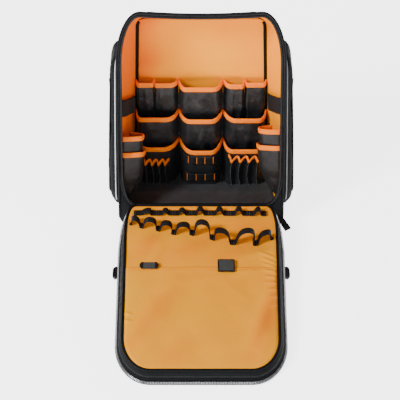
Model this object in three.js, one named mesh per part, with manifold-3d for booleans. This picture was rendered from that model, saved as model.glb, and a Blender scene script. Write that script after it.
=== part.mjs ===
// A tool backpack standing on its moulded base, unzipped, with its front flap laid open on the floor.
// Millimetres. X runs across the bag, Y from its front to its back, Z up.
// The origin is the middle of the base's underside, and the flap reaches out towards -Y.
import * as THREE from "three";
import { mergeVertices } from "three/addons/utils/BufferGeometryUtils.js";
import Module from "manifold-3d";

const wasm = await Module();
wasm.setup();

const { lerp, degToRad } = THREE.MathUtils;

// Clearances: between neighbouring pieces, and the reach of a cutter past what it cuts
const GAP = 0.3;
const PAST = 6;

// Body: the front is the plane of the opening, the back is the plane of the back panel
const BASE_DEPTH = 176;
const FRONT_LOW_WIDTH = 352;
const FRONT_HIGH_WIDTH = 333;
const BACK_LOW_WIDTH = 311;
const BACK_HIGH_WIDTH = 276;
const LIP_HEIGHT = 55;
const OPENING_RISE = 424;
const TOP_DROP = 62;
const TOP_SAG = 4;
const FRONT_LEAN = degToRad(11);
const BACK_LEAN = degToRad(3);
const SIDE_SWELL = 0.025;
const FRONT_CORNER = { x: 48, z: 108 };
const BACK_CORNER = { x: 30, z: 34 };
const FOOT_CORNER = 24;
const WALL = 4;
const LINING = 1.5;
const BACK_PANEL = 10;

// Opening and its zip
const FRAME_WIDTH = 11;
const HINGE_WIDTH = 284;
const HINGE_CURVE = 76;
const ZIP_WIDTH = 8;
const ZIP_THICKNESS = 2.4;

// Base boot and floor
const BOOT_HEIGHT = 40;
const BOOT_WALL = 4;
const FLOOR_MAT = 5;

// Pockets on the back panel
const CLOTH = 1.6;
const TOP_MOUTH = 262;
const TIER_STEP = 73;
const POCKET_REACH = 55;
const COLUMN_LEFT = -48.5;
const COLUMN_RIGHT = 46.5;
const LEFT_SPLIT = 0.43;
const RIGHT_SPLIT = 0.5;
const BINDING_HEIGHT = 10;
const BINDING = 1.2;
const SEAM_LAP = 0.05;
const TIER_INSET = 3.4;
const PLEAT_DEPTH = 9;
const PLEAT_LEFT = 72;
const PLEAT_RIGHT = 86;
const BOARD_HEIGHT = 88;

// Pockets and elastic bands on the side walls
const SIDE_MOUTH = 204;
const SIDE_STEP = 36;
const SIDE_RISE_RIGHT = 16;
const SIDE_REACH = 40;
const SIDE_FALL = 0.5;
const ELASTIC_HEIGHT = 36;
const ELASTIC_LEFT = 268;
const ELASTIC_RIGHT = 274;
const ELASTIC_REACH = 9;

// Pockets on the outside of the side walls
const OUTER_POCKET_HALF = 198;
const OUTER_POCKET_LOW = 44;
const OUTER_POCKET_HIGH = 372;

// Flap
const FLAP_LENGTH = 429;
const FLAP_HINGE_WIDTH = 284;
const FLAP_LOW_WIDTH = 318;
const FLAP_HIGH_WIDTH = 290;
const FLAP_CORNER = { x: 52, l: 74 };
const FLAP_PANEL = 9;
const FLAP_FALL = degToRad(4);
const FLAP_CLEAR = 9;
const SKIRT_END = 7.5;
const SKIRT_SIDE = 7;
const SKIRT_DROP = 9.5;
const SKIRT_CLOTH = 3;
const INNER_POCKET_START = 176;
const INNER_POCKET_LIFT = 4;
const LOOP_WEBBING = 16;
const LOOP_THICKNESS = 1.6;

// Harness
const STRAP_WIDTH = 66;
const STRAP_THICKNESS = 12;
const STRAP_TOP = 376;
const WEBBING_WIDTH = 25;
const WEBBING = 2;

const BLACK = new THREE.MeshStandardMaterial({ color: 0x24262a, roughness: 0.85, metalness: 0 });
const ORANGE = new THREE.MeshStandardMaterial({ color: 0xfba03c, roughness: 0.8, metalness: 0 });
const TAPE = new THREE.MeshStandardMaterial({ color: 0xf58440, roughness: 0.7, metalness: 0 });
const MOULDED = new THREE.MeshStandardMaterial({ color: 0x1c1d1f, roughness: 0.6, metalness: 0 });

const bag = new THREE.Group();

function vec(x, y, z) {
  return new THREE.Vector3(x, y, z);
}

// Closed solid from rings of points: each ring has as many points, and the ends are capped flat.
function loft(rings) {
  const count = rings[0].length;
  const faces = [];
  for (let r = 0; r + 1 < rings.length; r++) {
    for (let i = 0; i < count; i++) {
      const j = (i + 1) % count;
      const a = r * count;
      const b = a + count;
      faces.push(a + i, a + j, b + j, a + i, b + j, b + i);
    }
  }
  const last = (rings.length - 1) * count;
  for (const [a, b, c] of capFaces(rings[0])) faces.push(c, b, a);
  for (const [a, b, c] of capFaces(rings[rings.length - 1])) faces.push(last + a, last + b, last + c);
  return solid(rings.flat(), faces);
}

// Triangles over one ring, turned the way the ring runs
function capFaces(ring) {
  const normal = vec(0, 0, 0);
  ring.forEach((p, i) => {
    const q = ring[(i + 1) % ring.length];
    normal.x += (p.y - q.y) * (p.z + q.z);
    normal.y += (p.z - q.z) * (p.x + q.x);
    normal.z += (p.x - q.x) * (p.y + q.y);
  });
  normal.normalize();
  const side = Math.abs(normal.z) > 0.6 ? vec(1, 0, 0) : vec(0, 0, 1);
  const u = side.clone().cross(normal).normalize();
  const v = normal.clone().cross(u);
  const flat = ring.map((p) => new THREE.Vector2(p.dot(u), p.dot(v)));
  return THREE.ShapeUtils.triangulateShape(flat, []);
}

function signedVolume(points, faces) {
  let sum = 0;
  for (let i = 0; i < faces.length; i += 3) {
    const [a, b, c] = [points[faces[i]], points[faces[i + 1]], points[faces[i + 2]]];
    sum += a.dot(b.clone().cross(c));
  }
  return sum / 6;
}

function solid(points, faces) {
  const turned = signedVolume(points, faces) < 0 ? [...faces].reverse() : faces;
  const geometry = new THREE.BufferGeometry().setFromPoints(points);
  geometry.setIndex(turned);
  return manifoldOf(geometry);
}

function manifoldOf(geometry) {
  const bare = geometry.index ? geometry.clone() : geometry;
  bare.deleteAttribute("normal");
  bare.deleteAttribute("uv");
  const merged = mergeVertices(bare, 1e-3);
  return new wasm.Manifold(
    new wasm.Mesh({
      numProp: 3,
      vertProperties: new Float32Array(merged.attributes.position.array),
      triVerts: new Uint32Array(merged.index.array),
    }),
  );
}

function add(name, made, material, group = bag) {
  const mesh = made.getMesh();
  const geometry = new THREE.BufferGeometry();
  const places = new Float32Array(mesh.numVert * 3);
  for (let i = 0; i < mesh.numVert; i++) {
    const start = i * mesh.numProp;
    places.set(mesh.vertProperties.subarray(start, start + 3), i * 3);
  }
  geometry.setAttribute("position", new THREE.BufferAttribute(places, 3));
  geometry.setIndex(new THREE.BufferAttribute(mesh.triVerts, 1));
  geometry.computeVertexNormals();
  const piece = new THREE.Mesh(geometry, material);
  piece.name = name;
  group.add(piece);
  return piece;
}

function block(from, to) {
  const size = to.clone().sub(from);
  const box = new THREE.BoxGeometry(size.x, size.y, size.z);
  box.translate((from.x + to.x) / 2, (from.y + to.y) / 2, (from.z + to.z) / 2);
  return manifoldOf(box);
}

// A band of webbing or cloth: at each stop a place, a half width and a half thickness vector
function band(stops) {
  return loft(
    stops.map(({ at, across, through }) => [
      at.clone().add(across).add(through),
      at.clone().add(across).sub(through),
      at.clone().sub(across).sub(through),
      at.clone().sub(across).add(through),
    ]),
  );
}

// Body

const BODY_LOW = BOOT_WALL + GAP;
const FRONT_HIGH = LIP_HEIGHT + OPENING_RISE * Math.cos(FRONT_LEAN);
const BACK_HIGH = FRONT_HIGH - TOP_DROP;
const SIDE_STEPS = 6;
const FRONT_FOOT_Y = -BASE_DEPTH / 2;
const BACK_FOOT_Y = BASE_DEPTH / 2 - BACK_PANEL;

function frontY(z) {
  return FRONT_FOOT_Y + z * Math.tan(FRONT_LEAN);
}

function backY(z) {
  return BACK_FOOT_Y + z * Math.tan(BACK_LEAN);
}

// Points round an upright outline, from the right foot over the top to the left foot.
// Each straight side is cut into as many steps as sides says.
function outline({ low, high, lowHalf, highHalf, top, foot, sag, sides = 1 }) {
  const half = (z) => lerp(lowHalf, highHalf, (z - low) / (high - low));
  const right = [];
  const footSteps = 4;
  for (let i = 0; i <= footSteps; i++) {
    const turn = (i / footSteps) * (Math.PI / 2);
    const z = low + foot.z * (1 - Math.cos(turn));
    right.push({ x: half(z) - foot.x * (1 - Math.sin(turn)), z });
  }
  for (let i = 1; i < sides; i++) {
    const z = lerp(low + foot.z, high - top.z, i / sides);
    right.push({ x: half(z), z });
  }
  const topSteps = 8;
  for (let i = 0; i <= topSteps; i++) {
    const turn = (i / topSteps) * (Math.PI / 2);
    const z = high - top.z * (1 - Math.sin(turn));
    right.push({ x: half(z) - top.x * (1 - Math.cos(turn)), z });
  }
  const left = right.map(({ x, z }) => ({ x: -x, z })).reverse();
  return [...right, { x: 0, z: high - sag }, ...left];
}

function frontOutline(inset) {
  return outline({
    low: BODY_LOW + inset,
    high: FRONT_HIGH - inset,
    lowHalf: FRONT_LOW_WIDTH / 2 - inset,
    highHalf: FRONT_HIGH_WIDTH / 2 - inset,
    top: { x: FRONT_CORNER.x - inset, z: FRONT_CORNER.z - inset },
    foot: { x: FOOT_CORNER - inset, z: FOOT_CORNER - inset },
    sag: TOP_SAG,
    sides: SIDE_STEPS,
  });
}

function backOutline(inset) {
  return outline({
    low: BODY_LOW + inset,
    high: BACK_HIGH - inset,
    lowHalf: BACK_LOW_WIDTH / 2 - inset,
    highHalf: BACK_HIGH_WIDTH / 2 - inset,
    top: { x: BACK_CORNER.x - inset, z: BACK_CORNER.z - inset },
    foot: { x: FOOT_CORNER - inset, z: FOOT_CORNER - inset },
    sag: TOP_SAG,
    sides: SIDE_STEPS,
  });
}

// How far the wall swells out between the front plane (share 0) and the back plane (share 1)
function swell(share) {
  return 1 + SIDE_SWELL * 4 * share * (1 - share);
}

const STATIONS = [0, 1 / 3, 2 / 3, 1];

// The body's form, shrunk by inset, from a plane behind the front to a plane before the back.
// Its walls keep the same stations whatever the planes, so that shrunken copies stay parallel.
function bodyForm({ inset = 0, front = 0, back = 0, tail = 0 }) {
  const near = frontOutline(inset);
  const far = backOutline(inset);
  const lines = near.map((a, i) => {
    const b = far[i];
    return STATIONS.map((share) => {
      const y = lerp(frontY(a.z), backY(b.z), share);
      return vec(lerp(a.x, b.x, share) * swell(share), y, lerp(a.z, b.z, share));
    });
  });
  const onward = (from, to, reach) => {
    const step = to.clone().sub(from);
    return from.clone().addScaledVector(step, reach / Math.abs(step.y));
  };
  const rings = [
    lines.map((line) => onward(line[0], line[1], front)),
    lines.map((line) => line[1]),
    lines.map((line) => line[2]),
    lines.map((line) => onward(line[3], line[2], back)),
  ];
  if (tail) rings.push(lines.map((line) => line[3].clone().add(vec(0, tail, 0))));
  return loft(rings);
}

function openingCutter() {
  const inset = FRAME_WIDTH;
  const low = LIP_HEIGHT;
  const widest = FRONT_LOW_WIDTH / 2 - inset;
  const edge = outline({
    low,
    high: FRONT_HIGH - inset,
    lowHalf: widest,
    highHalf: FRONT_HIGH_WIDTH / 2 - inset,
    top: { x: FRONT_CORNER.x - inset, z: FRONT_CORNER.z - inset },
    foot: { x: widest - HINGE_WIDTH / 2, z: HINGE_CURVE },
    sag: TOP_SAG,
  });
  return loft([-PAST, WALL + 1].map((back) => edge.map(({ x, z }) => vec(x, frontY(z) + back, z))));
}

const LINED = WALL + GAP + LINING;
const ROOM = LINED + GAP;
const FLOOR_TOP = BODY_LOW + WALL + GAP + FLOOR_MAT;

function below(z) {
  const reach = FRONT_LOW_WIDTH;
  return block(vec(-reach, -reach, -reach), vec(reach, reach, z));
}

function makeBody() {
  const hollow = bodyForm({ inset: WALL, front: WALL, back: -PAST });
  const shell = bodyForm({}).subtract(hollow).subtract(openingCutter());
  add("body_shell", shell, BLACK);

  const plate = backOutline(0);
  const panel = [GAP, GAP + BACK_PANEL].map((back) => plate.map(({ x, z }) => vec(x, backY(z) + back, z)));
  add("back_panel", loft(panel), BLACK);

  const sleeve = bodyForm({ inset: WALL + GAP, front: WALL + GAP, back: GAP })
    .subtract(bodyForm({ inset: LINED, front: -PAST, back: -PAST }))
    .subtract(below(FLOOR_TOP + GAP));
  add("lining_sides", sleeve, ORANGE);

  const sheet = backOutline(ROOM);
  const backing = [LINING + GAP, GAP].map((back) => sheet.map(({ x, z }) => vec(x, backY(z) - back, z)));
  add("lining_back", loft(backing).subtract(below(FLOOR_TOP + GAP)), ORANGE);

  const mat = bodyForm({ inset: WALL + GAP, front: WALL + GAP, back: GAP });
  add("floor_mat", mat.intersect(below(FLOOR_TOP)), BLACK);
}

// The room inside the lining, which no inner piece leaves
function innerRoom() {
  return bodyForm({ inset: ROOM, front: WALL + 2 * GAP, back: LINING + 2 * GAP }).subtract(
    below(FLOOR_TOP + GAP),
  );
}

// A zip tape round the opening, from the left end of the hinge over the top to its right end
function makeRimZip() {
  const inset = FRAME_WIDTH / 2;
  const edge = outline({
    low: LIP_HEIGHT,
    high: FRONT_HIGH - inset,
    lowHalf: FRONT_LOW_WIDTH / 2 - inset,
    highHalf: FRONT_HIGH_WIDTH / 2 - inset,
    top: { x: FRONT_CORNER.x - inset, z: FRONT_CORNER.z - inset },
    foot: { x: (FRONT_LOW_WIDTH - HINGE_WIDTH) / 2 - inset, z: HINGE_CURVE },
    sag: TOP_SAG,
  });
  const forward = GAP + ZIP_THICKNESS / 2;
  const normal = vec(0, -Math.cos(FRONT_LEAN), Math.sin(FRONT_LEAN));
  const places = edge.map(({ x, z }) => vec(x, frontY(z), z).addScaledVector(normal, forward));
  add("rim_zip", band(edgeStops(places, normal, ZIP_WIDTH, ZIP_THICKNESS)), BLACK);
}

// Stops for a band that lies flat on a plane and follows a line of places
function edgeStops(places, normal, width, thickness) {
  return places.map((at, i) => {
    const ahead = places[Math.min(i + 1, places.length - 1)];
    const behind = places[Math.max(i - 1, 0)];
    const along = ahead.clone().sub(behind).normalize();
    const across = along.cross(normal).normalize().multiplyScalar(width / 2);
    return { at, across, through: normal.clone().multiplyScalar(thickness / 2) };
  });
}

// A moulded tub round the foot of the body and its back panel
function makeBoot() {
  const tub = (spread) =>
    bodyForm({ inset: -spread, front: -spread, tail: BACK_PANEL + GAP + spread });
  const shell = tub(BOOT_WALL + GAP).intersect(below(BOOT_HEIGHT)).subtract(tub(GAP));
  add("base_boot", shell, MOULDED);
}

// Pockets on the back panel

// Columns: the pocket's name and column, its left and right ends as shares of the column, its
// reach as a share of POCKET_REACH, and how far its left and right ends run in before the flat
// front, as shares of the reach
const TIERS = [
  {
    mouth: TOP_MOUTH,
    foot: TOP_MOUTH - 1.6 * TIER_STEP,
    name: "top",
    rows: [
      ["pocket_top_1", "left", 0, LEFT_SPLIT, 0.33, 0.35, 0.2],
      ["pocket_top_2", "left", LEFT_SPLIT, 1, 0.35, 0.2, 0.95],
      ["pocket_top_3", "centre", 0, 1, 0.65, 0.45, 0.6],
      ["pocket_top_4", "right", 0, RIGHT_SPLIT, 0.44, 0.8, 0.25],
      ["pocket_top_5", "right", RIGHT_SPLIT, 1, 0.33, 0.25, 0.4],
    ],
  },
  {
    mouth: TOP_MOUTH - TIER_STEP,
    foot: TOP_MOUTH - 2.55 * TIER_STEP,
    name: "middle",
    rows: [
      ["pocket_middle_1", "left", 0, 1, 0.69, 0.3, 0.72],
      ["pocket_middle_2", "centre", 0, 1, 0.82, 0.56, 0.6],
      ["pocket_middle_3", "right", 0, 1, 0.76, 0.68, 0.45],
    ],
  },
  {
    mouth: TOP_MOUTH - 2 * TIER_STEP,
    foot: FLOOR_TOP + 2 * GAP,
    name: "low",
    rows: [
      ["pocket_low_1", "left", 0, 1, 0.78, 0.75, 0.86],
      ["pocket_low_2", "centre", 0, 1, 1, 0.62, 0.5],
      ["pocket_low_3", "right", 0, 1, 0.91, 0.42, 0.26],
    ],
  },
];

// How a pocket's reach falls from its mouth (level 1) to its foot (level 0), and how much of
// TIER_INSET it draws in to stand inside the tier below
const HANGING = [
  { level: 1, reach: 1, tuck: 0 },
  { level: 0.46, reach: 0.8, tuck: 0 },
  { level: 0.39, reach: 0.7, tuck: 1 },
  { level: 0.15, reach: 0.4, tuck: 1 },
  { level: 0, reach: 0.14, tuck: 1 },
];
const STANDING = [
  { level: 1, reach: 1, tuck: 0 },
  { level: 0.5, reach: 0.88, tuck: 0 },
  { level: 0, reach: 0.62, tuck: 0 },
];

function backPlane(z) {
  return backY(z) - LINING - 2 * GAP;
}

function wallHalf(y, z) {
  const up = (z - BODY_LOW) / (FRONT_HIGH - BODY_LOW);
  const backUp = (z - BODY_LOW) / (BACK_HIGH - BODY_LOW);
  const front = lerp(FRONT_LOW_WIDTH, FRONT_HIGH_WIDTH, up) / 2;
  const back = lerp(BACK_LOW_WIDTH, BACK_HIGH_WIDTH, backUp) / 2;
  const share = (y - frontY(z)) / (backY(z) - frontY(z));
  return lerp(front, back, share) * swell(share) - ROOM;
}

function columnEnds(column, mouth) {
  const edge = wallHalf(backPlane(mouth), mouth) - GAP;
  if (column === "left") return [-edge, COLUMN_LEFT];
  if (column === "right") return [COLUMN_RIGHT, edge];
  return [COLUMN_LEFT, COLUMN_RIGHT];
}

// The plan of a pocket's outer face, as { along, out } from one end round the front to the other
function pocketPlan(spec, { reach, tuck = 0 }, inset) {
  const share = reach / spec.reach;
  const side = inset * 1.2 + tuck * TIER_INSET;
  const out = Math.max(reach - inset, CLOTH / 4);
  const leftRun = spec.leftRun * share;
  const rightRun = spec.rightRun * share;
  const steps = 4;
  const belly = 0.3;
  const points = [];
  for (let i = 0; i <= steps; i++) {
    const t = i / steps;
    const along = spec.left + side + leftRun * (2 * t * (1 - t) * belly + t * t);
    points.push({ along, out: out * (2 * t * (1 - t) + t * t) });
  }
  for (let i = steps; i >= 0; i--) {
    const t = i / steps;
    const along = spec.right - side - rightRun * (2 * t * (1 - t) * belly + t * t);
    points.push({ along, out: out * (2 * t * (1 - t) + t * t) });
  }
  return points;
}

// The cloth of a pocket: a wall that is open at its mouth and against what carries it
function pocketWall(spec, rows, place, cloth = CLOTH, over = 0) {
  return loft(
    rows.map((row) => {
      const outer = pocketPlan(spec, row, -over);
      const inner = pocketPlan(spec, row, over ? -GAP : cloth).reverse();
      return [...outer, ...inner].map(({ along, out }) => place(along, out, row.z));
    }),
  );
}

function onBack(along, out, z) {
  return vec(along, backPlane(z) - out, z);
}

function backPockets(tier) {
  const levels = tier.name === "low" ? STANDING : HANGING;
  return tier.rows.map(([name, column, from, to, reachShare, leftRun, rightRun]) => {
    const [start, end] = columnEnds(column, tier.mouth);
    const reach = reachShare * POCKET_REACH;
    const left = lerp(start, end, from);
    const right = lerp(start, end, to);
    const spec = {
      name,
      left: left + GAP,
      right: right - GAP,
      reach,
      leftRun: leftRun * reach,
      rightRun: rightRun * reach,
    };
    const sections = levels.map(({ level, reach: share, tuck }) => ({
      z: lerp(tier.foot, tier.mouth, level),
      reach: reach * share,
      tuck,
    }));
    return { spec, sections, left, right };
  });
}

function reachAt(sections, z) {
  for (let i = 0; i + 1 < sections.length; i++) {
    const [a, b] = [sections[i], sections[i + 1]];
    if (z <= a.z && z >= b.z) return lerp(b.reach, a.reach, (z - b.z) / (a.z - b.z));
  }
  return sections[sections.length - 1].reach;
}

// An orange tape folded over a pocket's mouth, lying on the face of its cloth
function mouthBinding(spec, sections, place, mouth) {
  const rows = [mouth, mouth - BINDING_HEIGHT].map((z) => ({ z, reach: reachAt(sections, z), tuck: 0 }));
  return pocketWall(spec, rows, place, CLOTH, GAP + BINDING);
}

// One tape runs along all the mouths of a tier, sewn down between them
function makeBackPockets(room) {
  const low = [];
  const tall = BACK_HIGH;
  for (const tier of TIERS) {
    let tape = null;
    for (const { spec, sections, left, right } of backPockets(tier)) {
      add(spec.name, pocketWall(spec, sections, onBack).intersect(room), BLACK);
      const seam = SEAM_LAP;
      const stretch = block(vec(left - seam, -tall, 0), vec(right + seam, tall, tall));
      const part = mouthBinding(spec, sections, onBack, tier.mouth).intersect(stretch);
      tape = tape ? tape.add(part) : part;
      if (tier.name === "low") low.push({ spec, sections });
    }
    add("binding_" + tier.name, largest(tape.intersect(room)), TAPE);
  }
  return low;
}

// The outer face of a low pocket between two shares of its width, as places with outward normals
function faceLine({ spec, sections }, z, from, to, steps) {
  const plan = pocketPlan(spec, { reach: reachAt(sections, z) }, 0);
  const first = lerp(spec.left, spec.right, from);
  const last = lerp(spec.left, spec.right, to);
  const line = [];
  for (let i = 0; i <= steps; i++) {
    const along = lerp(first, last, i / steps);
    const next = plan.findIndex((p) => p.along >= along);
    const [a, b] = [plan[Math.max(next - 1, 0)], plan[Math.max(next, 1)]];
    const share = (along - a.along) / (b.along - a.along);
    line.push({ along, out: lerp(a.out, b.out, share) });
  }
  return line;
}

// A wall that follows a low pocket's face, standing off it by a rule of the step
function faceWall(pocket, { from, to, steps, thick, top, foot }, stand) {
  const ring = (z) => {
    const line = faceLine(pocket, z, from, to, steps);
    const outer = line.map(({ along, out }, i) => ({ along, out: out + stand(i) + thick }));
    const inner = line.map(({ along, out }, i) => ({ along, out: out + stand(i) })).reverse();
    return [...outer, ...inner].map(({ along, out }) => onBack(along, out, z));
  };
  return loft([ring(top), ring((top + foot) / 2), ring(foot)]);
}

function makeLowFront(low, room) {
  const [left, centre, right] = low;
  const foot = FLOOR_TOP + 2 * GAP;
  const off = GAP + BINDING + GAP;
  const lift = (i) => off + (i % 2 ? PLEAT_DEPTH : 0);
  const pleats = [
    { side: "left", pocket: left, from: 0.16, to: 0.76, height: PLEAT_LEFT, steps: 8 },
    { side: "right", pocket: right, from: 0.12, to: 0.9, height: PLEAT_RIGHT, steps: 8 },
  ];
  for (const { side, pocket, from, to, height, steps } of pleats) {
    const top = foot + height;
    const cloth = { from, to, steps, thick: CLOTH * 1.4, top, foot };
    add("pleat_pocket_" + side, faceWall(pocket, cloth, lift).intersect(room), BLACK);
    const edge = { ...cloth, thick: BINDING * 1.4, foot: top - BINDING_HEIGHT * 0.7 };
    const stand = (i) => lift(i) + cloth.thick + GAP;
    add("pleat_binding_" + side, faceWall(pocket, edge, stand).intersect(room), TAPE);
  }
  const top = foot + BOARD_HEIGHT;
  const board = { from: 0.1, to: 0.9, steps: 16, thick: WEBBING, top: top + GAP, foot: foot + GAP };
  add("webbing_board", faceWall(centre, board, () => off + 2 * GAP).intersect(room), BLACK);
}

// Pockets and elastic bands on the side walls

// Columns: how far down the pocket starts, its height, and its reach as a share of SIDE_REACH
const SIDE_POCKETS = [
  { name: "upper", drop: 0, height: 92, reach: 1, start: 14, end: 96 },
  { name: "lower", drop: SIDE_STEP, height: 116, reach: 1.08, start: 10, end: 99 },
];

function onSide(side) {
  return (along, out, z) => {
    const level = z - SIDE_FALL * along;
    const y = frontY(level) + WALL + along;
    return vec(side * (wallHalf(y, level) - GAP - out), y, level);
  };
}

function makeSidePockets(room) {
  const walls = [
    { word: "left", side: -1, rise: 0, elasticLevel: ELASTIC_LEFT },
    { word: "right", side: 1, rise: SIDE_RISE_RIGHT, elasticLevel: ELASTIC_RIGHT },
  ];
  for (const { word, side, rise, elasticLevel } of walls) {
    const place = onSide(side);
    for (const { name, drop, height, reach, start, end } of SIDE_POCKETS) {
      const spec = {
        left: start,
        right: end,
        reach: reach * SIDE_REACH,
        leftRun: 0.5 * SIDE_REACH,
        rightRun: 1.3 * SIDE_REACH,
      };
      const mouth = SIDE_MOUTH - drop + rise;
      const sections = HANGING.map(({ level, reach: share }) => ({
        z: lerp(mouth - height, mouth, level),
        reach: spec.reach * share,
      }));
      const cloth = pocketWall(spec, sections, place);
      add("side_pocket_" + name + "_" + word, cloth.intersect(room), BLACK);
      const tape = mouthBinding(spec, sections, place, mouth);
      add("side_binding_" + name + "_" + word, tape.intersect(room), TAPE);
    }
    const loop = { left: 6, right: 118, reach: ELASTIC_REACH, leftRun: 22, rightRun: 40 };
    const rows = [elasticLevel + ELASTIC_HEIGHT / 2, elasticLevel - ELASTIC_HEIGHT / 2];
    const elastic = pocketWall(loop, rows.map((z) => ({ z, reach: ELASTIC_REACH })), place);
    add("elastic_band_" + word, elastic.intersect(room), BLACK);
  }
}

// Pockets on the outside of the side walls: padded domes sewn on, hollow behind

// Columns: height as a share of the pocket, its front and back edges as shares of the wall's
// depth, and its reach as a share of the whole reach
const OUTER_ROWS = [
  { level: 0, front: 0.13, back: 0.8, reach: 0.62 },
  { level: 0.035, front: 0.08, back: 0.87, reach: 0.9 },
  { level: 0.1, front: 0.06, back: 0.9, reach: 1 },
  { level: 0.45, front: 0.07, back: 0.9, reach: 0.85 },
  { level: 0.8, front: 0.08, back: 0.9, reach: 0.68 },
  { level: 0.93, front: 0.1, back: 0.87, reach: 0.64 },
  { level: 0.98, front: 0.16, back: 0.8, reach: 0.54 },
  { level: 1, front: 0.24, back: 0.7, reach: 0.4 },
];

function makeOuterPockets() {
  const around = bodyForm({ inset: -GAP, front: -PAST, back: -PAST });
  const dome = (side, inset) =>
    loft(
      OUTER_ROWS.map(({ level, front, back, reach }) => {
        const z = lerp(OUTER_POCKET_LOW + inset, OUTER_POCKET_HIGH - inset, level);
        const start = frontY(z);
        const run = backY(z) - start;
        const near = start + run * front + inset;
        const far = start + run * back - inset;
        const root = wallHalf(lerp(near, far, 0.5), z);
        const out = lerp(root + ROOM, OUTER_POCKET_HALF - inset, reach);
        const soft = (far - near) * 0.16;
        return [
          vec(side * (root - PAST), near, z),
          vec(side * lerp(root + ROOM, out, 0.62), near, z),
          vec(side * lerp(root + ROOM, out, 0.93), near + soft * 0.35, z),
          vec(side * out, near + soft, z),
          vec(side * out, far - soft, z),
          vec(side * lerp(root + ROOM, out, 0.93), far - soft * 0.35, z),
          vec(side * lerp(root + ROOM, out, 0.62), far, z),
          vec(side * (root - PAST), far, z),
        ];
      }),
    );
  for (const [word, side] of [["left", -1], ["right", 1]]) {
    const made = dome(side, 0).subtract(dome(side, WALL)).subtract(around);
    add("outer_pocket_" + word, largest(made), BLACK);
  }
}

function largest(made) {
  const bodies = made.decompose();
  return bodies.reduce((a, b) => (b.volume() > a.volume() ? b : a));
}

// Harness on the back

function makeHarness() {
  // Columns: height as a share of the strap's top, reach behind the panel, place across
  const STRAP = [
    { up: 1, behind: 0.2 - STRAP_THICKNESS / 2, across: 52 },
    { up: 1, behind: 12, across: 52 },
    { up: 0.985, behind: 29, across: 55 },
    { up: 0.9, behind: 38, across: 62 },
    { up: 0.75, behind: 41, across: 72 },
    { up: 0.6, behind: 37, across: 84 },
    { up: 0.47, behind: 27, across: 97 },
  ];
  const LOWER = [
    { up: 0.46, behind: 25, across: 98 },
    { up: 0.36, behind: 17, across: 108 },
    { up: 0.25, behind: 7, across: 119 },
    { up: 0.16, behind: 0.3, across: 126 },
  ];
  const line = (rows, side, half) =>
    rows.map(({ up, behind, across }) => {
      const z = up * STRAP_TOP;
      return vec(side * across, backY(z) + BACK_PANEL + 2 * GAP + half + behind, z);
    });
  const stops = (places, width, thickness) =>
    places.map((at, i) => {
      const ahead = places[Math.min(i + 1, places.length - 1)];
      const behind = places[Math.max(i - 1, 0)];
      const along = ahead.clone().sub(behind).normalize();
      const across = vec(1, 0, 0).addScaledVector(along, -along.x).normalize();
      const through = along.clone().cross(across).normalize();
      return {
        at,
        across: across.multiplyScalar(width / 2),
        through: through.multiplyScalar(thickness / 2),
      };
    });
  for (const [word, side] of [["left", -1], ["right", 1]]) {
    const pad = band(stops(line(STRAP, side, STRAP_THICKNESS / 2), STRAP_WIDTH, STRAP_THICKNESS));
    add("shoulder_strap_" + word, pad, BLACK);
    const slack = band(stops(line(LOWER, side, WEBBING / 2), WEBBING_WIDTH, WEBBING));
    add("strap_webbing_" + word, slack, BLACK);
  }
  // Columns: place across, reach behind the panel, height below the straps' top
  const HANDLE = [
    { across: -15, behind: 1, drop: 26 },
    { across: -15, behind: 10, drop: 26 },
    { across: -13, behind: 25, drop: 18 },
    { across: -6, behind: 33, drop: 15 },
    { across: 6, behind: 33, drop: 15 },
    { across: 13, behind: 25, drop: 18 },
    { across: 15, behind: 10, drop: 26 },
    { across: 15, behind: 1, drop: 26 },
  ];
  const grip = HANDLE.map(({ across, behind, drop }) => {
    const z = STRAP_TOP - drop;
    return vec(across, backY(z) + BACK_PANEL + 2 * GAP + behind, z);
  });
  const handle = grip.map((at, i) => {
    const ahead = grip[Math.min(i + 1, grip.length - 1)];
    const behind = grip[Math.max(i - 1, 0)];
    const along = ahead.clone().sub(behind).normalize();
    const up = vec(0, 0, 1).addScaledVector(along, -along.z).normalize();
    return {
      at,
      across: up.clone().multiplyScalar(WEBBING_WIDTH / 2),
      through: along.cross(up).normalize().multiplyScalar(WEBBING * 0.75),
    };
  });
  add("haul_handle", band(handle), BLACK);
}

// Flap: laid in its own frame, with the hinge at its origin, its length along -Y and its face up

const flap = new THREE.Group();
const HINGE_Y = frontY(LIP_HEIGHT) - FLAP_CLEAR;
flap.position.set(0, HINGE_Y, LIP_HEIGHT);
flap.rotation.x = FLAP_FALL;
bag.add(flap);

function flapOutline(inset, start = 0) {
  const low = start;
  const widest = lerp(FLAP_LOW_WIDTH, FLAP_HIGH_WIDTH, start / FLAP_LENGTH) / 2 - inset;
  const hinge = FLAP_HINGE_WIDTH / 2 - inset;
  const foot = start ? { x: 2, z: 2 } : { x: widest - hinge, z: HINGE_CURVE };
  return outline({
    low,
    high: FLAP_LENGTH - inset,
    lowHalf: widest,
    highHalf: FLAP_HIGH_WIDTH / 2 - inset,
    top: { x: FLAP_CORNER.x - inset, z: FLAP_CORNER.l - inset },
    foot,
    sag: 0,
  }).map(({ x, z }) => ({ x, l: z }));
}

function flapPlate(edge, low, high) {
  return loft([low, high].map((h) => edge.map(({ x, l }) => vec(x, -l, h))));
}

function makeFlapPanel() {
  add("flap_panel", flapPlate(flapOutline(0), -FLAP_PANEL, 0), BLACK, flap);
  add("flap_lining", flapPlate(flapOutline(1), GAP, GAP + LINING), ORANGE, flap);
  const start = INNER_POCKET_START;
  const over = GAP + LINING + GAP;
  const cover = flapPlate(flapOutline(2, start), over, over + INNER_POCKET_LIFT);
  const room = flapPlate(flapOutline(12, start - PAST), over - PAST, over + INNER_POCKET_LIFT - CLOTH);
  add("flap_inner_pocket", cover.subtract(room), ORANGE, flap);
}

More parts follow.
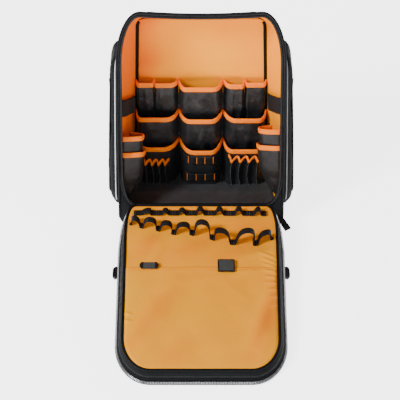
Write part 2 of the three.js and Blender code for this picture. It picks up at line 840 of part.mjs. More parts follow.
// The flap's gusset stands out from three sides of the panel and droops, with the zip at its edge
function skirtStops(innerShare, outerShare, thickness, dropMore) {
  const edge = flapOutline(0);
  return edge.map(({ x, l }, i) => {
    const ahead = edge[Math.min(i + 1, edge.length - 1)];
    const behind = edge[Math.max(i - 1, 0)];
    const out = new THREE.Vector2(ahead.l - behind.l, behind.x - ahead.x).normalize();
    const atEnd = Math.max(0, out.y) ** 2;
    const nearHinge = Math.min(1, 0.25 + l / (HINGE_CURVE * 2));
    const width = lerp(SKIRT_SIDE, SKIRT_END, atEnd) * nearHinge;
    const from = GAP + width * innerShare;
    const to = GAP + width * outerShare;
    const drop = SKIRT_DROP * nearHinge;
    const place = (reach, share) =>
      vec(x + out.x * reach, -(l + out.y * reach), -thickness / 2 - 1 - drop * share - dropMore);
    const inner = place(from, innerShare);
    const outer = place(to, outerShare);
    const across = outer.clone().sub(inner).multiplyScalar(0.5);
    return {
      at: inner.clone().add(outer).multiplyScalar(0.5),
      across,
      through: vec(0, 0, thickness / 2),
    };
  });
}

function makeFlapSkirt() {
  add("flap_gusset", band(skirtStops(0, 1, SKIRT_CLOTH, 0)), BLACK, flap);
  const reachShare = ZIP_WIDTH / SKIRT_END;
  const zip = skirtStops(1 + GAP / SKIRT_SIDE, 1 + reachShare, ZIP_THICKNESS, 0);
  add("flap_zip", band(zip), BLACK, flap);
}

function makeFlapHinge() {
  const half = HINGE_WIDTH / 2 - 2;
  const thick = 2;
  const face = (z) => frontY(z) - GAP - thick / 2;
  const low = BOOT_HEIGHT + GAP + 1;
  const rows = [
    { y: face(low), z: low, up: 0 },
    { y: face(low + 4) - 0.4, z: low + 4, up: 0.3 },
    { y: lerp(face(low), HINGE_Y, 0.45), z: LIP_HEIGHT - 6.4, up: 0.7 },
    { y: HINGE_Y + GAP + 1, z: LIP_HEIGHT - FLAP_PANEL / 2, up: 1 },
  ];
  const stops = rows.map(({ y, z, up }) => {
    const turn = up * (Math.PI / 2);
    return {
      at: vec(0, y, z),
      across: vec(half, 0, 0),
      through: vec(0, -Math.cos(turn), -Math.sin(turn)).multiplyScalar(thick / 2),
    };
  });
  add("flap_hinge", band(stops), BLACK);
}

// A pocket on the flap's outer face, bulging down to the floor, hollow behind its cloth
function makeFlapPocket() {
  const floorAt = (l) => (l * Math.sin(FLAP_FALL) - LIP_HEIGHT) / Math.cos(FLAP_FALL);
  const START = 26;
  const END = FLAP_LENGTH * 0.86;
  const dome = (inset, top, lift) => {
    const plan = (shrink) =>
      outline({
        low: START + shrink,
        high: END - shrink,
        lowHalf: FLAP_LOW_WIDTH / 2 - 18 - shrink,
        highHalf: FLAP_HIGH_WIDTH / 2 - 18 - shrink,
        top: { x: 36, z: 44 },
        foot: { x: 22, z: 22 },
        sag: 0,
      });
    const ring = (shrink, h) => plan(shrink).map(({ x, z }) => vec(x, -z, h(z)));
    return loft([
      ring(inset, () => top),
      ring(inset, (l) => lerp(-FLAP_PANEL, floorAt(l), 0.62)),
      ring(inset + 8, (l) => floorAt(l) + lift),
    ]);
  };
  const outer = dome(0, -FLAP_PANEL - GAP, 0);
  const inner = dome(2, -FLAP_PANEL + PAST, 2);
  add("flap_outer_pocket", outer.subtract(inner), BLACK, flap);
}

// Elastic webbing sewn down at intervals into tool loops
// Columns: where a loop starts and ends across the flap, how high it stands, how far it leans,
// and where its feet lie along the flap
const ROW_LOW = [
  { from: -141, to: -92, high: 8, lean: 7, start: 22, end: 22 },
  { from: -92, to: -58, high: 8, lean: 0, start: 22, end: 22 },
  { from: -58, to: -22, high: 9, lean: 0, start: 22, end: 22 },
  { from: -22, to: 18, high: 13, lean: 0, start: 22, end: 22 },
  { from: 18, to: 59, high: 13, lean: 0, start: 22, end: 23 },
  { from: 59, to: 99, high: 14, lean: 0, start: 23, end: 23 },
  { from: 99, to: 137, high: 13, lean: 2, start: 23, end: 24 },
];
const ROW_HIGH = [
  { from: -147, to: -124, high: 17, lean: -2, start: 50, end: 60 },
  { from: -124, to: -89, high: 22, lean: 2, start: 60, end: 68 },
  { from: -89, to: -57, high: 22, lean: 3, start: 68, end: 79 },
  { from: -57, to: -19, high: 24, lean: 2, start: 79, end: 80 },
  { from: -19, to: 23, high: 38, lean: 1, start: 80, end: 94 },
  { from: 23, to: 64, high: 28, lean: -3, start: 94, end: 108 },
  { from: 64, to: 111, high: 36, lean: 8, start: 108, end: 110 },
  { from: 111, to: 146, high: 22, lean: 4, start: 110, end: 92 },
];

// The band lies flat for the share foot of each loop at both its ends
function loopBand(rows, foot, steps) {
  const base = GAP + LINING + GAP + LOOP_THICKNESS / 2;
  const marks = [0];
  for (let i = 0; i <= steps; i++) marks.push(lerp(foot, 1 - foot, i / steps));
  marks.push(1);
  const line = [];
  rows.forEach((row, r) => {
    for (const t of r ? marks.slice(1) : marks) {
      const up = (t - foot) / (1 - 2 * foot);
      const arch = up < 0 || up > 1 ? 0 : Math.abs(Math.sin(up * Math.PI)) ** 0.55;
      const across = lerp(row.from, row.to, t) + row.lean * arch;
      line.push(vec(across, -lerp(row.start, row.end, t), base + row.high * arch));
    }
  });
  const stops = line.map((at, i) => {
    const ahead = line[Math.min(i + 1, line.length - 1)];
    const behind = line[Math.max(i - 1, 0)];
    const along = ahead.clone().sub(behind).normalize();
    const across = vec(0, 1, 0);
    return {
      at,
      across: across.clone().multiplyScalar(LOOP_WEBBING / 2),
      through: along.cross(across).normalize().multiplyScalar(LOOP_THICKNESS / 2),
    };
  });
  return band(stops);
}

function makeLoops() {
  add("loop_row_low", loopBand(ROW_LOW, 0.34, 4), BLACK, flap);
  add("loop_row_high_left", loopBand(ROW_HIGH.slice(0, 4), 0.14, 6), BLACK, flap);
  const gapped = ROW_HIGH.slice(4).map((row, i) => (i ? row : { ...row, from: row.from + 2 * GAP }));
  add("loop_row_high_right", loopBand(gapped, 0.14, 6), BLACK, flap);
}

// Two closure tabs lie across the inner pocket's mouth
function makeTabs() {
  const tabs = [
    { name: "closure_tab_left", x: -104, half: 18.5, from: -9, to: 8 },
    { name: "closure_tab_right", x: 50, half: 16.5, from: -16, to: 16 },
  ];
  const base = GAP + LINING + GAP + INNER_POCKET_LIFT + GAP;
  for (const { name, x, half, from, to } of tabs) {
    const near = -(INNER_POCKET_START + from);
    const far = -(INNER_POCKET_START + to);
    add(name, block(vec(x - half, far, base), vec(x + half, near, base + 1.6)), BLACK, flap);
  }
}

// Compression straps under the flap's edges, each ending in a side release buckle
function makeCompression() {
  const l = 163;
  const edge = lerp(FLAP_LOW_WIDTH, FLAP_HIGH_WIDTH, l / FLAP_LENGTH) / 2;
  const top = -FLAP_PANEL - GAP - WEBBING / 2;
  for (const [word, side] of [["left", -1], ["right", 1]]) {
    const rows = [
      { x: edge - 14, h: top },
      { x: edge - 2, h: top - 3 },
      { x: edge + 6, h: top - 11 },
      { x: edge + 14, h: top - 17 },
    ];
    const stops = rows.map(({ x, h }) => ({
      at: vec(side * x, -l, h),
      across: vec(0, WEBBING_WIDTH / 2, 0),
      through: vec(0, 0, WEBBING / 2),
    }));
    add("compression_strap_" + word, band(stops), BLACK, flap);
    const from = side * (edge + 14 + GAP);
    const to = side * (edge + 27);
    const low = vec(Math.min(from, to), -l - 17, top - 24);
    add("side_buckle_" + word, block(low, vec(Math.max(from, to), -l + 17, top - 14)), MOULDED, flap);
  }
}

makeBody();
makeRimZip();
makeBoot();
const room = innerRoom();
const lowPockets = makeBackPockets(room);
makeLowFront(lowPockets, room);
makeSidePockets(room);
makeOuterPockets();
makeHarness();
makeFlapPanel();
makeFlapSkirt();
makeFlapHinge();
makeFlapPocket();
makeLoops();
makeTabs();
makeCompression();

export default bag;
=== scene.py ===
import math

import bpy
import numpy as np
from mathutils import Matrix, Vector


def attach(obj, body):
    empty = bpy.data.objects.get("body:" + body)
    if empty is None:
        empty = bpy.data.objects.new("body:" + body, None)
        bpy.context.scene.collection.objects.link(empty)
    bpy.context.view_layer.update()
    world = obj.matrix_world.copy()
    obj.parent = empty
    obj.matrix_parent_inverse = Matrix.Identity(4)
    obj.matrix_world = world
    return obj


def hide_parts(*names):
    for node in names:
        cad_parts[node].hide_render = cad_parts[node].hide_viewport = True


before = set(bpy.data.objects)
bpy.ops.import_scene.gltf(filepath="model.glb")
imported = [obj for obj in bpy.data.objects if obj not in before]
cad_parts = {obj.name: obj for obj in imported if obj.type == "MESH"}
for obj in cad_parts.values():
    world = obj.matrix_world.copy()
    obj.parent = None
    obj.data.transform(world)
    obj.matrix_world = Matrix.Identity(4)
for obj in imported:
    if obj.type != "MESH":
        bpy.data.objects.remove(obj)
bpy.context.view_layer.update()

# Shape values, in millimetres, as the solids have them
GAP = 0.3
BODY_LOW = 4.3
LIP = 55
FRONT_LEAN = math.radians(11)
BACK_LEAN = math.radians(3)
FRONT_HIGH = LIP + 424 * math.cos(FRONT_LEAN)
BACK_HIGH = FRONT_HIGH - 62
FRONT_LOW_WIDTH, FRONT_HIGH_WIDTH = 352, 333
BACK_LOW_WIDTH, BACK_HIGH_WIDTH = 311, 276
SWELL = 0.025
ROOM = 6.1
FLOOR_TOP = 13.6
TOP_MOUTH = 262
TIER_STEP = 73
POCKET_REACH = 55
COLUMNS = (-48.5, 46.5)
LEFT_SPLIT, RIGHT_SPLIT = 0.43, 0.5
TIER_INSET = 3.4
SIDE_MOUTH, SIDE_STEP, SIDE_REACH, SIDE_FALL = 204, 36, 40, 0.5
SIDE_RISE = {"left": 0, "right": 16}
ELASTIC_LEVEL = {"left": 268, "right": 274}
PLEAT_HEIGHT = {"left": 72, "right": 86}
PLEAT_LEAN = {"left": -0.6, "right": 1}
BOARD_HEIGHT = 88
OUTER_LOW, OUTER_HIGH, OUTER_HALF = 44, 372, 198
SKIRT_SIDE, SKIRT_END, SKIRT_DROP = 7, 7.5, 9.5
FLAP_LENGTH = 429
FLAP_HINGE_WIDTH, FLAP_END_WIDTH = 318, 290
HINGE_HALF = 142
INNER_START = 176
RIM_WIDTH = 11.0
BACK_PAD = 10.6
STRAP_LEVEL = 376
BOOT_HIGH, BOOT_CURVE = 40, 24
FLAP_FALL = math.radians(4)
HINGE_CURVE = 76
STEPS = {"foot": 8, "side": 30, "top": 16, "mid": 14, "low": 20}


def lerp(a, b, t):
    return a + (b - a) * t


def front_y(z):
    return -88 + z * math.tan(FRONT_LEAN)


def back_y(z):
    return 78 + z * math.tan(BACK_LEAN)


HINGE_Y = front_y(LIP) - 9


# Materials

def new_material(name):
    mat = bpy.data.materials.new(name)
    mat.use_nodes = True
    nodes, links = mat.node_tree.nodes, mat.node_tree.links
    return mat, nodes, links, nodes["Principled BSDF"]


def set_input(shader, **values):
    for key, value in values.items():
        shader.inputs[key.replace("_", " ")].default_value = value


def math_node(nodes, links, kind, *values):
    node = nodes.new("ShaderNodeMath")
    node.operation = kind
    for slot, value in enumerate(values):
        if isinstance(value, (int, float)):
            node.inputs[slot].default_value = value
        else:
            links.new(value, node.inputs[slot])
    return node.outputs[0]


def wave(nodes, links, coords, axis, period):
    node = nodes.new("ShaderNodeTexWave")
    node.wave_type = "BANDS"
    node.bands_direction = axis
    node.inputs["Scale"].default_value = 0.3142 / period
    node.inputs["Distortion"].default_value = 0.4
    node.inputs["Detail"].default_value = 1
    node.inputs["Detail Scale"].default_value = 2
    links.new(coords, node.inputs["Vector"])
    return node.outputs["Fac"]


def noise(nodes, links, coords, scale, detail=3, rough=0.5):
    node = nodes.new("ShaderNodeTexNoise")
    node.inputs["Scale"].default_value = scale
    node.inputs["Detail"].default_value = detail
    node.inputs["Roughness"].default_value = rough
    links.new(coords, node.inputs["Vector"])
    return node.outputs["Fac"]


def ramp(nodes, links, factor, low, high, dark, light):
    node = nodes.new("ShaderNodeValToRGB")
    node.color_ramp.elements[0].position = low
    node.color_ramp.elements[1].position = high
    node.color_ramp.elements[0].color = (*dark, 1)
    node.color_ramp.elements[1].color = (*light, 1)
    links.new(factor, node.inputs["Fac"])
    return node.outputs["Color"]


def bump(nodes, links, height, strength, distance, before=None):
    node = nodes.new("ShaderNodeBump")
    node.inputs["Strength"].default_value = strength
    node.inputs["Distance"].default_value = distance
    links.new(height, node.inputs["Height"])
    if before is not None:
        links.new(before, node.inputs["Normal"])
    return node.outputs["Normal"]


def woven(name, dark, light, rough, period=0.0011, weave=0.5, sheen=0.15, crease=0.3,
          crease_scale=26, spec=0.35):
    """Woven cloth: threads both ways, soft creases and colour uneven at random"""
    mat, nodes, links, shader = new_material(name)
    coords = nodes.new("ShaderNodeTexCoord").outputs["Object"]
    threads = None
    for axis in "XYZ":
        one = wave(nodes, links, coords, axis, period)
        threads = one if threads is None else math_node(nodes, links, "MULTIPLY", threads, one)
    mottle = noise(nodes, links, coords, 45, 5, 0.6)
    fine = noise(nodes, links, coords, 900, 2, 0.7)
    both = math_node(nodes, links, "MULTIPLY_ADD", fine, 0.45,
                     math_node(nodes, links, "MULTIPLY", mottle, 0.55))
    links.new(ramp(nodes, links, both, 0.3, 0.7, dark, light), shader.inputs["Base Color"])
    links.new(math_node(nodes, links, "MULTIPLY_ADD", mottle, 0.16, rough - 0.08),
              shader.inputs["Roughness"])
    creases = noise(nodes, links, coords, crease_scale, 4, 0.55)
    soft = bump(nodes, links, creases, crease, 0.004)
    links.new(bump(nodes, links, threads, weave, 0.0003, soft), shader.inputs["Normal"])
    set_input(shader, Sheen_Weight=sheen, Sheen_Roughness=0.45, Specular_IOR_Level=spec)
    return mat


def painted_light_cloth(name, stops, rough, spec=0.1, crease=0.22):
    """Orange lining cloth whose colour runs from red painted shade to yellow painted light, by a value
    painted on each point of the mesh
    """
    mat = woven(name, (0.9, 0.2, 0.0), (1.0, 0.3, 0.0), rough, period=0.0009, weave=0.2, crease=crease,
                crease_scale=22, spec=spec, sheen=0.0)
    nodes, links = mat.node_tree.nodes, mat.node_tree.links
    shader = nodes["Principled BSDF"]
    # Painted shade and light: each point's value picks red where the lining is meant to lie in shade and
    # yellow where it is meant to be lit
    painted_light = nodes.new("ShaderNodeAttribute")
    painted_light.attribute_name = "painted_light"
    painted_light_ramp = nodes.new("ShaderNodeValToRGB")
    while len(painted_light_ramp.color_ramp.elements) < len(stops):
        painted_light_ramp.color_ramp.elements.new(0.5)
    for element, (place, colour) in zip(painted_light_ramp.color_ramp.elements, stops):
        element.position = place
        element.color = (*colour, 1)
    coords = nodes.new("ShaderNodeTexCoord").outputs["Object"]
    fleck = ramp(nodes, links, noise(nodes, links, coords, 1300, 2, 0.7), 0.3, 0.7, (0.86, 0.86, 0.86),
                 (1, 1, 1))
    links.new(painted_light.outputs["Fac"], painted_light_ramp.inputs["Fac"])
    both = nodes.new("ShaderNodeMix")
    both.data_type = "RGBA"
    both.blend_type = "MULTIPLY"
    both.inputs["Factor"].default_value = 1
    links.new(painted_light_ramp.outputs["Color"], both.inputs["A"])
    links.new(fleck, both.inputs["B"])
    links.new(both.outputs["Result"], shader.inputs["Base Color"])
    return mat


def ribbed(name, dark, light, rough, period=0.0016, axis="X", spec=0.3, sheen=0.2):
    """Webbing or tape: ribs along one axis over a fine weave"""
    mat, nodes, links, shader = new_material(name)
    coords = nodes.new("ShaderNodeTexCoord").outputs["Object"]
    ribs = wave(nodes, links, coords, axis, period)
    fine = noise(nodes, links, coords, 1100, 2, 0.6)
    mottle = noise(nodes, links, coords, 60, 3, 0.5)
    both = math_node(nodes, links, "ADD", math_node(nodes, links, "MULTIPLY", fine, 0.5),
                     math_node(nodes, links, "MULTIPLY", mottle, 0.5))
    links.new(ramp(nodes, links, both, 0.3, 0.7, dark, light), shader.inputs["Base Color"])
    links.new(math_node(nodes, links, "MULTIPLY_ADD", fine, 0.2, rough - 0.1), shader.inputs["Roughness"])
    first = bump(nodes, links, fine, 0.3, 0.0004)
    links.new(bump(nodes, links, ribs, 0.55, 0.0005, first), shader.inputs["Normal"])
    set_input(shader, Sheen_Weight=sheen, Sheen_Roughness=0.4, Specular_IOR_Level=spec)
    return mat


def moulded(name, dark, light, rough, grain=700, metal=0.0):
    """Moulded plastic or rubber with a fine grain and paler rubbed patches"""
    mat, nodes, links, shader = new_material(name)
    coords = nodes.new("ShaderNodeTexCoord").outputs["Object"]
    grainy = noise(nodes, links, coords, grain, 3, 0.6)
    worn = noise(nodes, links, coords, 18, 5, 0.65)
    links.new(ramp(nodes, links, worn, 0.35, 0.75, dark, light), shader.inputs["Base Color"])
    links.new(math_node(nodes, links, "MULTIPLY_ADD", worn, 0.25, rough - 0.12), shader.inputs["Roughness"])
    links.new(bump(nodes, links, grainy, 0.3, 0.0005), shader.inputs["Normal"])
    set_input(shader, Metallic=metal, Specular_IOR_Level=0.4)
    return mat


# Darkest and lightest colour of each black, and the orange from red painted shade through the cloth's own
# orange to yellow painted light
DEEP_BLACK = ((0.0025, 0.0025, 0.003), (0.006, 0.0065, 0.008))
WEB_BLACK = ((0.004, 0.004, 0.005), (0.010, 0.011, 0.013))
ZIP_BLACK = ((0.003, 0.003, 0.0035), (0.007, 0.0075, 0.009))
BACK_PAINTED_LIGHT = ((0.0, (0.72, 0.085, 0.0)), (0.5, (0.98, 0.33, 0.0)), (1.0, (1.0, 0.46, 0.0)))
FLAP_PAINTED_LIGHT = ((0.0, (0.84, 0.17, 0.0)), (0.5, (0.98, 0.37, 0.0)), (1.0, (1.0, 0.52, 0.0)))
SHELL = woven("shell_cloth", (0.0025, 0.003, 0.0035), (0.007, 0.0075, 0.009), 0.75, period=0.0013,
              weave=0.45, crease=0.25, crease_scale=18, spec=0.12, sheen=0.0)
POCKET = woven("pocket_cloth", (0.0045, 0.0055, 0.007), (0.011, 0.013, 0.015), 0.44, period=0.0008,
               weave=0.25, crease=0.7, crease_scale=34, spec=0.42, sheen=0.02)
ORANGE = painted_light_cloth("orange_cloth", BACK_PAINTED_LIGHT, 0.65)
FLAP_ORANGE = painted_light_cloth("flap_orange_cloth", FLAP_PAINTED_LIGHT, 0.62, spec=0.15, crease=0.2)
TAPE = ribbed("orange_tape", (0.92, 0.18, 0.0), (1.0, 0.24, 0.0), 0.6, period=0.0014, spec=0.15, sheen=0.0)
WEB = ribbed("black_webbing", *WEB_BLACK, 0.65, spec=0.2, sheen=0.02)
WEB_UP = ribbed("black_webbing_upright", *WEB_BLACK, 0.65, axis="Z", spec=0.2, sheen=0.02)
ZIP_TAPE = ribbed("zip_tape", *ZIP_BLACK, 0.75, period=0.001, spec=0.1, sheen=0.0)
PIPING = ribbed("edge_piping", *DEEP_BLACK, 0.65, period=0.0012, axis="Z", spec=0.1, sheen=0.0)
FLOOR_CLOTH = woven("floor_cloth", (0.016, 0.017, 0.019), (0.032, 0.034, 0.037), 0.55, period=0.0012,
                    weave=0.4, crease=0.6, crease_scale=16, spec=0.5, sheen=0.1)
MESH_PAD = woven("air_mesh", (0.005, 0.0055, 0.0065), (0.018, 0.019, 0.021), 0.8, period=0.0032,
                 weave=1.0, crease=0.2, spec=0.15, sheen=0.03)
TEETH = moulded("zip_teeth", (0.008, 0.008, 0.009), (0.025, 0.025, 0.028), 0.5, metal=0.0)
PALE_TEETH = moulded("zip_teeth_bright", (0.22, 0.22, 0.23), (0.45, 0.45, 0.47), 0.3, metal=0.6)
GREY_EDGE = ribbed("fold_edge", (0.05, 0.052, 0.056), (0.11, 0.115, 0.12), 0.5, axis="Z")
# A darker copy of the reflective piping: painted shade for the right side, away from the key light
PAINTED_SHADE_SILVER = ribbed("reflective_piping_shaded", (0.10, 0.10, 0.11), (0.2, 0.2, 0.21), 0.4, axis="Z",
                    spec=0.6)
SILVER = ribbed("reflective_piping", (0.42, 0.43, 0.45), (0.62, 0.63, 0.66), 0.4, axis="Z", spec=0.6)
BOOT = moulded("boot_rubber", (0.008, 0.008, 0.010), (0.02, 0.021, 0.023), 0.6)
BUCKLE = moulded("buckle_plastic", (0.008, 0.008, 0.010), (0.018, 0.019, 0.021), 0.4, grain=900)
THREAD = ribbed("orange_thread", (0.8, 0.16, 0.01), (0.95, 0.26, 0.03), 0.6, period=0.0007, axis="Z",
                sheen=0.0)
BLACK_THREAD = ribbed("black_thread", (0.02, 0.02, 0.022), (0.05, 0.05, 0.055), 0.5, period=0.0007)
GREY_WEB = ribbed("grey_webbing", (0.020, 0.026, 0.026), (0.045, 0.052, 0.052), 0.7, period=0.0015,
                  axis="Y")


# Mesh helpers

# How each sheet of cloth is held, and what it is sewn to or lies on
SHEETS = {
    "lining_cloth_sides": ("stretched", "body_shell"),
    "lining_cloth_back": ("stretched", "body_shell"),
    "pocket_backing_cloth": ("hung", "lining_back"),
    "floor_mat_cloth": ("laid", "body_shell"),
    "board_cloth": ("stretched", "pocket_low_2"),
    "pleats_left_cloth": ("gathered", "pocket_low_1"),
    "pleats_right_cloth": ("gathered", "pocket_low_3"),
    "outer_pocket_left_cloth": ("stretched", "body_shell"),
    "outer_pocket_right_cloth": ("stretched", "body_shell"),
    "flap_lining_cloth": ("laid", "flap_panel"),
    "flap_pocket_cloth": ("laid", "flap_panel"),
    "flap_hinge_cloth": ("stretched", "flap_panel"),
}
for tier, count in (("top", 5), ("middle", 3), ("low", 3)):
    for k in range(count):
        SHEETS[f"pocket_{tier}_{k + 1}_cloth"] = ("gathered", "lining_back")
for level in ("upper", "lower"):
    for word in ("left", "right"):
        SHEETS[f"side_pocket_{level}_{word}_cloth"] = ("gathered", "lining_sides")


def make(name, points, faces, mat, replaces=(), smooth=True):
    mesh = bpy.data.meshes.new(name)
    mesh.from_pydata((np.asarray(points, dtype=float) * 0.001).tolist(), [], faces)
    mesh.validate()
    mesh.materials.append(mat)
    if smooth:
        mesh.polygons.foreach_set("use_smooth", [True] * len(mesh.polygons))
    piece = bpy.data.objects.new(name, mesh)
    bpy.context.scene.collection.objects.link(piece)
    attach(piece, "root")
    if replaces:
        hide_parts(*replaces)
    return piece


def grid_faces(rows, cols, wrap_rows=False, wrap_cols=False):
    faces = []
    for r in range(rows if wrap_rows else rows - 1):
        for c in range(cols if wrap_cols else cols - 1):
            r2, c2 = (r + 1) % rows, (c + 1) % cols
            faces.append((r * cols + c, r * cols + c2, r2 * cols + c2, r2 * cols + c))
    return faces


def declare_sheet(piece, P, wrap_cols, held, rests_on):
    """Turns the points to metres and repeats a wrapped sheet's first column; nothing is kept or returned"""
    P = P * 0.001
    if wrap_cols:
        P = np.concatenate([P, P[:, :1]], axis=1)


def grid(name, P, mat, replaces=(), wrap_rows=False, wrap_cols=False, thick=0, caps=False,
         turn=False, painted_light=None):
    """A surface from rows of points, given a thickness if it is an open sheet"""
    P = np.asarray(P, dtype=float)
    rows, cols = P.shape[:2]
    faces = grid_faces(rows, cols, wrap_rows, wrap_cols)
    if caps and wrap_cols:
        faces.append(tuple(range(cols))[::-1])
        faces.append(tuple((rows - 1) * cols + c for c in range(cols)))
    if turn:
        faces = [f[::-1] for f in faces]
    piece = make(name, P.reshape(-1, 3), faces, mat, replaces)
    # Each point's painted shade and light, read by the orange lining materials
    if painted_light is not None:
        shade = piece.data.attributes.new("painted_light", "FLOAT", "POINT")
        shade.data.foreach_set("value", np.clip(painted_light, 0, 1).reshape(-1).astype(np.float32))
    if thick:
        mod = piece.modifiers.new("thickness", "SOLIDIFY")
        mod.thickness = thick * 0.001
        mod.offset = 0
    if name in SHEETS:
        declare_sheet(piece, P, wrap_cols, *SHEETS[name])
    return piece


def unit(v):
    """Vectors along the last axis, brought to length 1"""
    return v / np.maximum(np.linalg.norm(v, axis=-1, keepdims=True), 1e-9)


def columns_of(table, count):
    """A table's columns at even steps from its first row to its last"""
    table = np.asarray(table, dtype=float)
    t = np.linspace(0, len(table) - 1, count)
    return [np.interp(t, np.arange(len(table)), column) for column in table.T]


def smoothed(v, weights):
    """Values averaged over five neighbours, with the two at each end kept"""
    out = v.copy()
    out[2:-2] = np.convolve(v, np.array(weights) / sum(weights), "valid")
    return out


def normals_of(P, wrap_cols=False):
    P = np.asarray(P, dtype=float)
    du = np.gradient(P, axis=0)
    if wrap_cols:
        dv = (np.roll(P, -1, axis=1) - np.roll(P, 1, axis=1)) / 2
    else:
        dv = np.gradient(P, axis=1)
    n = np.cross(du, dv)
    size = np.linalg.norm(n, axis=-1, keepdims=True)
    return n / np.where(size < 1e-9, 1, size)


def outward(P):
    """Normals of a closed form, turned away from its middle"""
    n = normals_of(P, True)
    return n * np.sign(((P - P.mean(axis=(0, 1))) * n).sum(axis=-1).mean())


def ripple(P, size, seed):
    """Smooth seeded waves of about unit height at each point"""
    rng = np.random.default_rng(seed)
    count = 10
    out = np.zeros(np.asarray(P).shape[:-1])
    for _ in range(count):
        way = rng.normal(size=3)
        way /= np.linalg.norm(way)
        k = 2 * math.pi / (size * rng.uniform(0.7, 1.5))
        out += np.sin(np.asarray(P) @ way * k + rng.uniform(0, 2 * math.pi))
    return out / math.sqrt(count)


def crinkle(P, size, seed):
    """Sharper creases: ridges where smooth waves cross zero"""
    one = ripple(P, size, seed)
    two = ripple(P, size * 0.55, seed + 50)
    return np.exp(-((one / 0.35) ** 2)) * (0.6 + 0.4 * np.tanh(two))


def frames_along(path, up=None):
    """Unit tangents, sides and ups along a path; up is a fixed direction or one per point"""
    path = np.asarray(path, dtype=float)
    along = unit(np.gradient(path, axis=0))
    up = np.asarray(up if up is not None else (0, 0, 1), dtype=float)
    up = np.broadcast_to(up, path.shape)
    side = unit(np.cross(along, up))
    lift = np.cross(side, along)
    return along, side, lift


def sweep(name, path, section, mat, replaces=(), up=None, closed=False, scale=None):
    """Sweeps a closed section of (side, up) pairs along a path"""
    path = np.asarray(path, dtype=float)
    if closed:
        wrapped = np.vstack([path[-2:], path, path[:2]])
        if up is not None and np.ndim(up) == 2:
            up = np.vstack([up[-2:], up, up[:2]])
        _, side, lift = (a[2:-2] for a in frames_along(wrapped, up))
    else:
        _, side, lift = frames_along(path, up)
    section = np.asarray(section, dtype=float)
    size = np.ones(len(path)) if scale is None else np.asarray(scale, dtype=float)
    P = (path[:, None, :] + side[:, None, :] * section[None, :, 0:1] * size[:, None, None]
         + lift[:, None, :] * section[None, :, 1:2] * size[:, None, None])
    return grid(name, P, mat, replaces, wrap_rows=closed, wrap_cols=True, caps=not closed)


def round_section(radius, count=8, flat=1.0):
    turn = np.linspace(0, 2 * math.pi, count, endpoint=False)
    return np.stack([np.cos(turn) * radius, np.sin(turn) * radius * flat], axis=1)


def band_section(width, thick):
    """A flat band's section with rounded edges"""
    half, r = width / 2, thick / 2
    turn = np.linspace(-math.pi / 2, math.pi / 2, 5)
    right = np.stack([half - r + np.cos(turn) * r, np.sin(turn) * r], axis=1)
    across = np.linspace(half - r, -half + r, 5)[1:-1]
    top = np.stack([across, np.full(3, r)], axis=1)
    left = np.stack([-half + r - np.cos(turn) * r, -np.sin(turn) * r], axis=1)
    low = np.stack([-across, np.full(3, -r)], axis=1)
    return np.vstack([right, top, left, low])


def along_path(path, spacing, start=0.0):
    """Points and distances at an even spacing along a path"""
    path = np.asarray(path, dtype=float)
    steps = np.linalg.norm(np.diff(path, axis=0), axis=1)
    reach = np.concatenate([[0], np.cumsum(steps)])
    places = np.arange(start, reach[-1] - 1e-6, spacing)
    return np.stack([np.interp(places, reach, path[:, i]) for i in range(3)], axis=1), places / reach[-1]


def scatter(name, places, X, Y, Z, size, mat):
    """Small rounded blocks, one at each place; X, Y and Z are one direction each, or one per place"""
    sx, sy, sz = (v / 2 for v in size)
    tiers = ((0.7, -1), (1, -0.45), (1, 0.45), (0.7, 1))
    corners = ((-1, -1), (1, -1), (1, 1), (-1, 1))
    base = np.array([(a * sx * k, b * sy * k, c * sz) for k, c in tiers for a, b in corners])
    faces = grid_faces(4, 4, wrap_cols=True) + [(3, 2, 1, 0), (12, 13, 14, 15)]
    X, Y, Z = (np.broadcast_to(np.asarray(v, dtype=float), places.shape) for v in (X, Y, Z))
    verts = (places[:, None, :] + X[:, None, :] * base[None, :, 0:1] + Y[:, None, :] * base[None, :, 1:2]
             + Z[:, None, :] * base[None, :, 2:3])
    every = [tuple(v + 16 * i for v in f) for i in range(len(places)) for f in faces]
    return make(name, verts.reshape(-1, 3), every, mat, smooth=False)


def stitches(name, path, up, mat, pitch=4.2, length=2.6, lift=0.25):
    """A line of stitches along a path, lying on a surface whose normals are up"""
    path = np.asarray(path, dtype=float)
    up = np.broadcast_to(np.asarray(up, dtype=float), path.shape)
    spots, share = along_path(path, pitch, pitch / 2)
    old = np.concatenate([[0], np.cumsum(np.linalg.norm(np.diff(path, axis=0), axis=1))])
    old /= old[-1]
    ups = np.stack([np.interp(share, old, up[:, i]) for i in range(3)], axis=1)
    ways = np.gradient(path, axis=0)
    way = unit(np.stack([np.interp(share, old, ways[:, i]) for i in range(3)], axis=1))
    side = unit(np.cross(way, ups))
    ups = np.cross(side, way)
    return scatter(name, spots + ups * lift, way, side, ups, (length, 0.9, 0.8), mat)


# The body's form

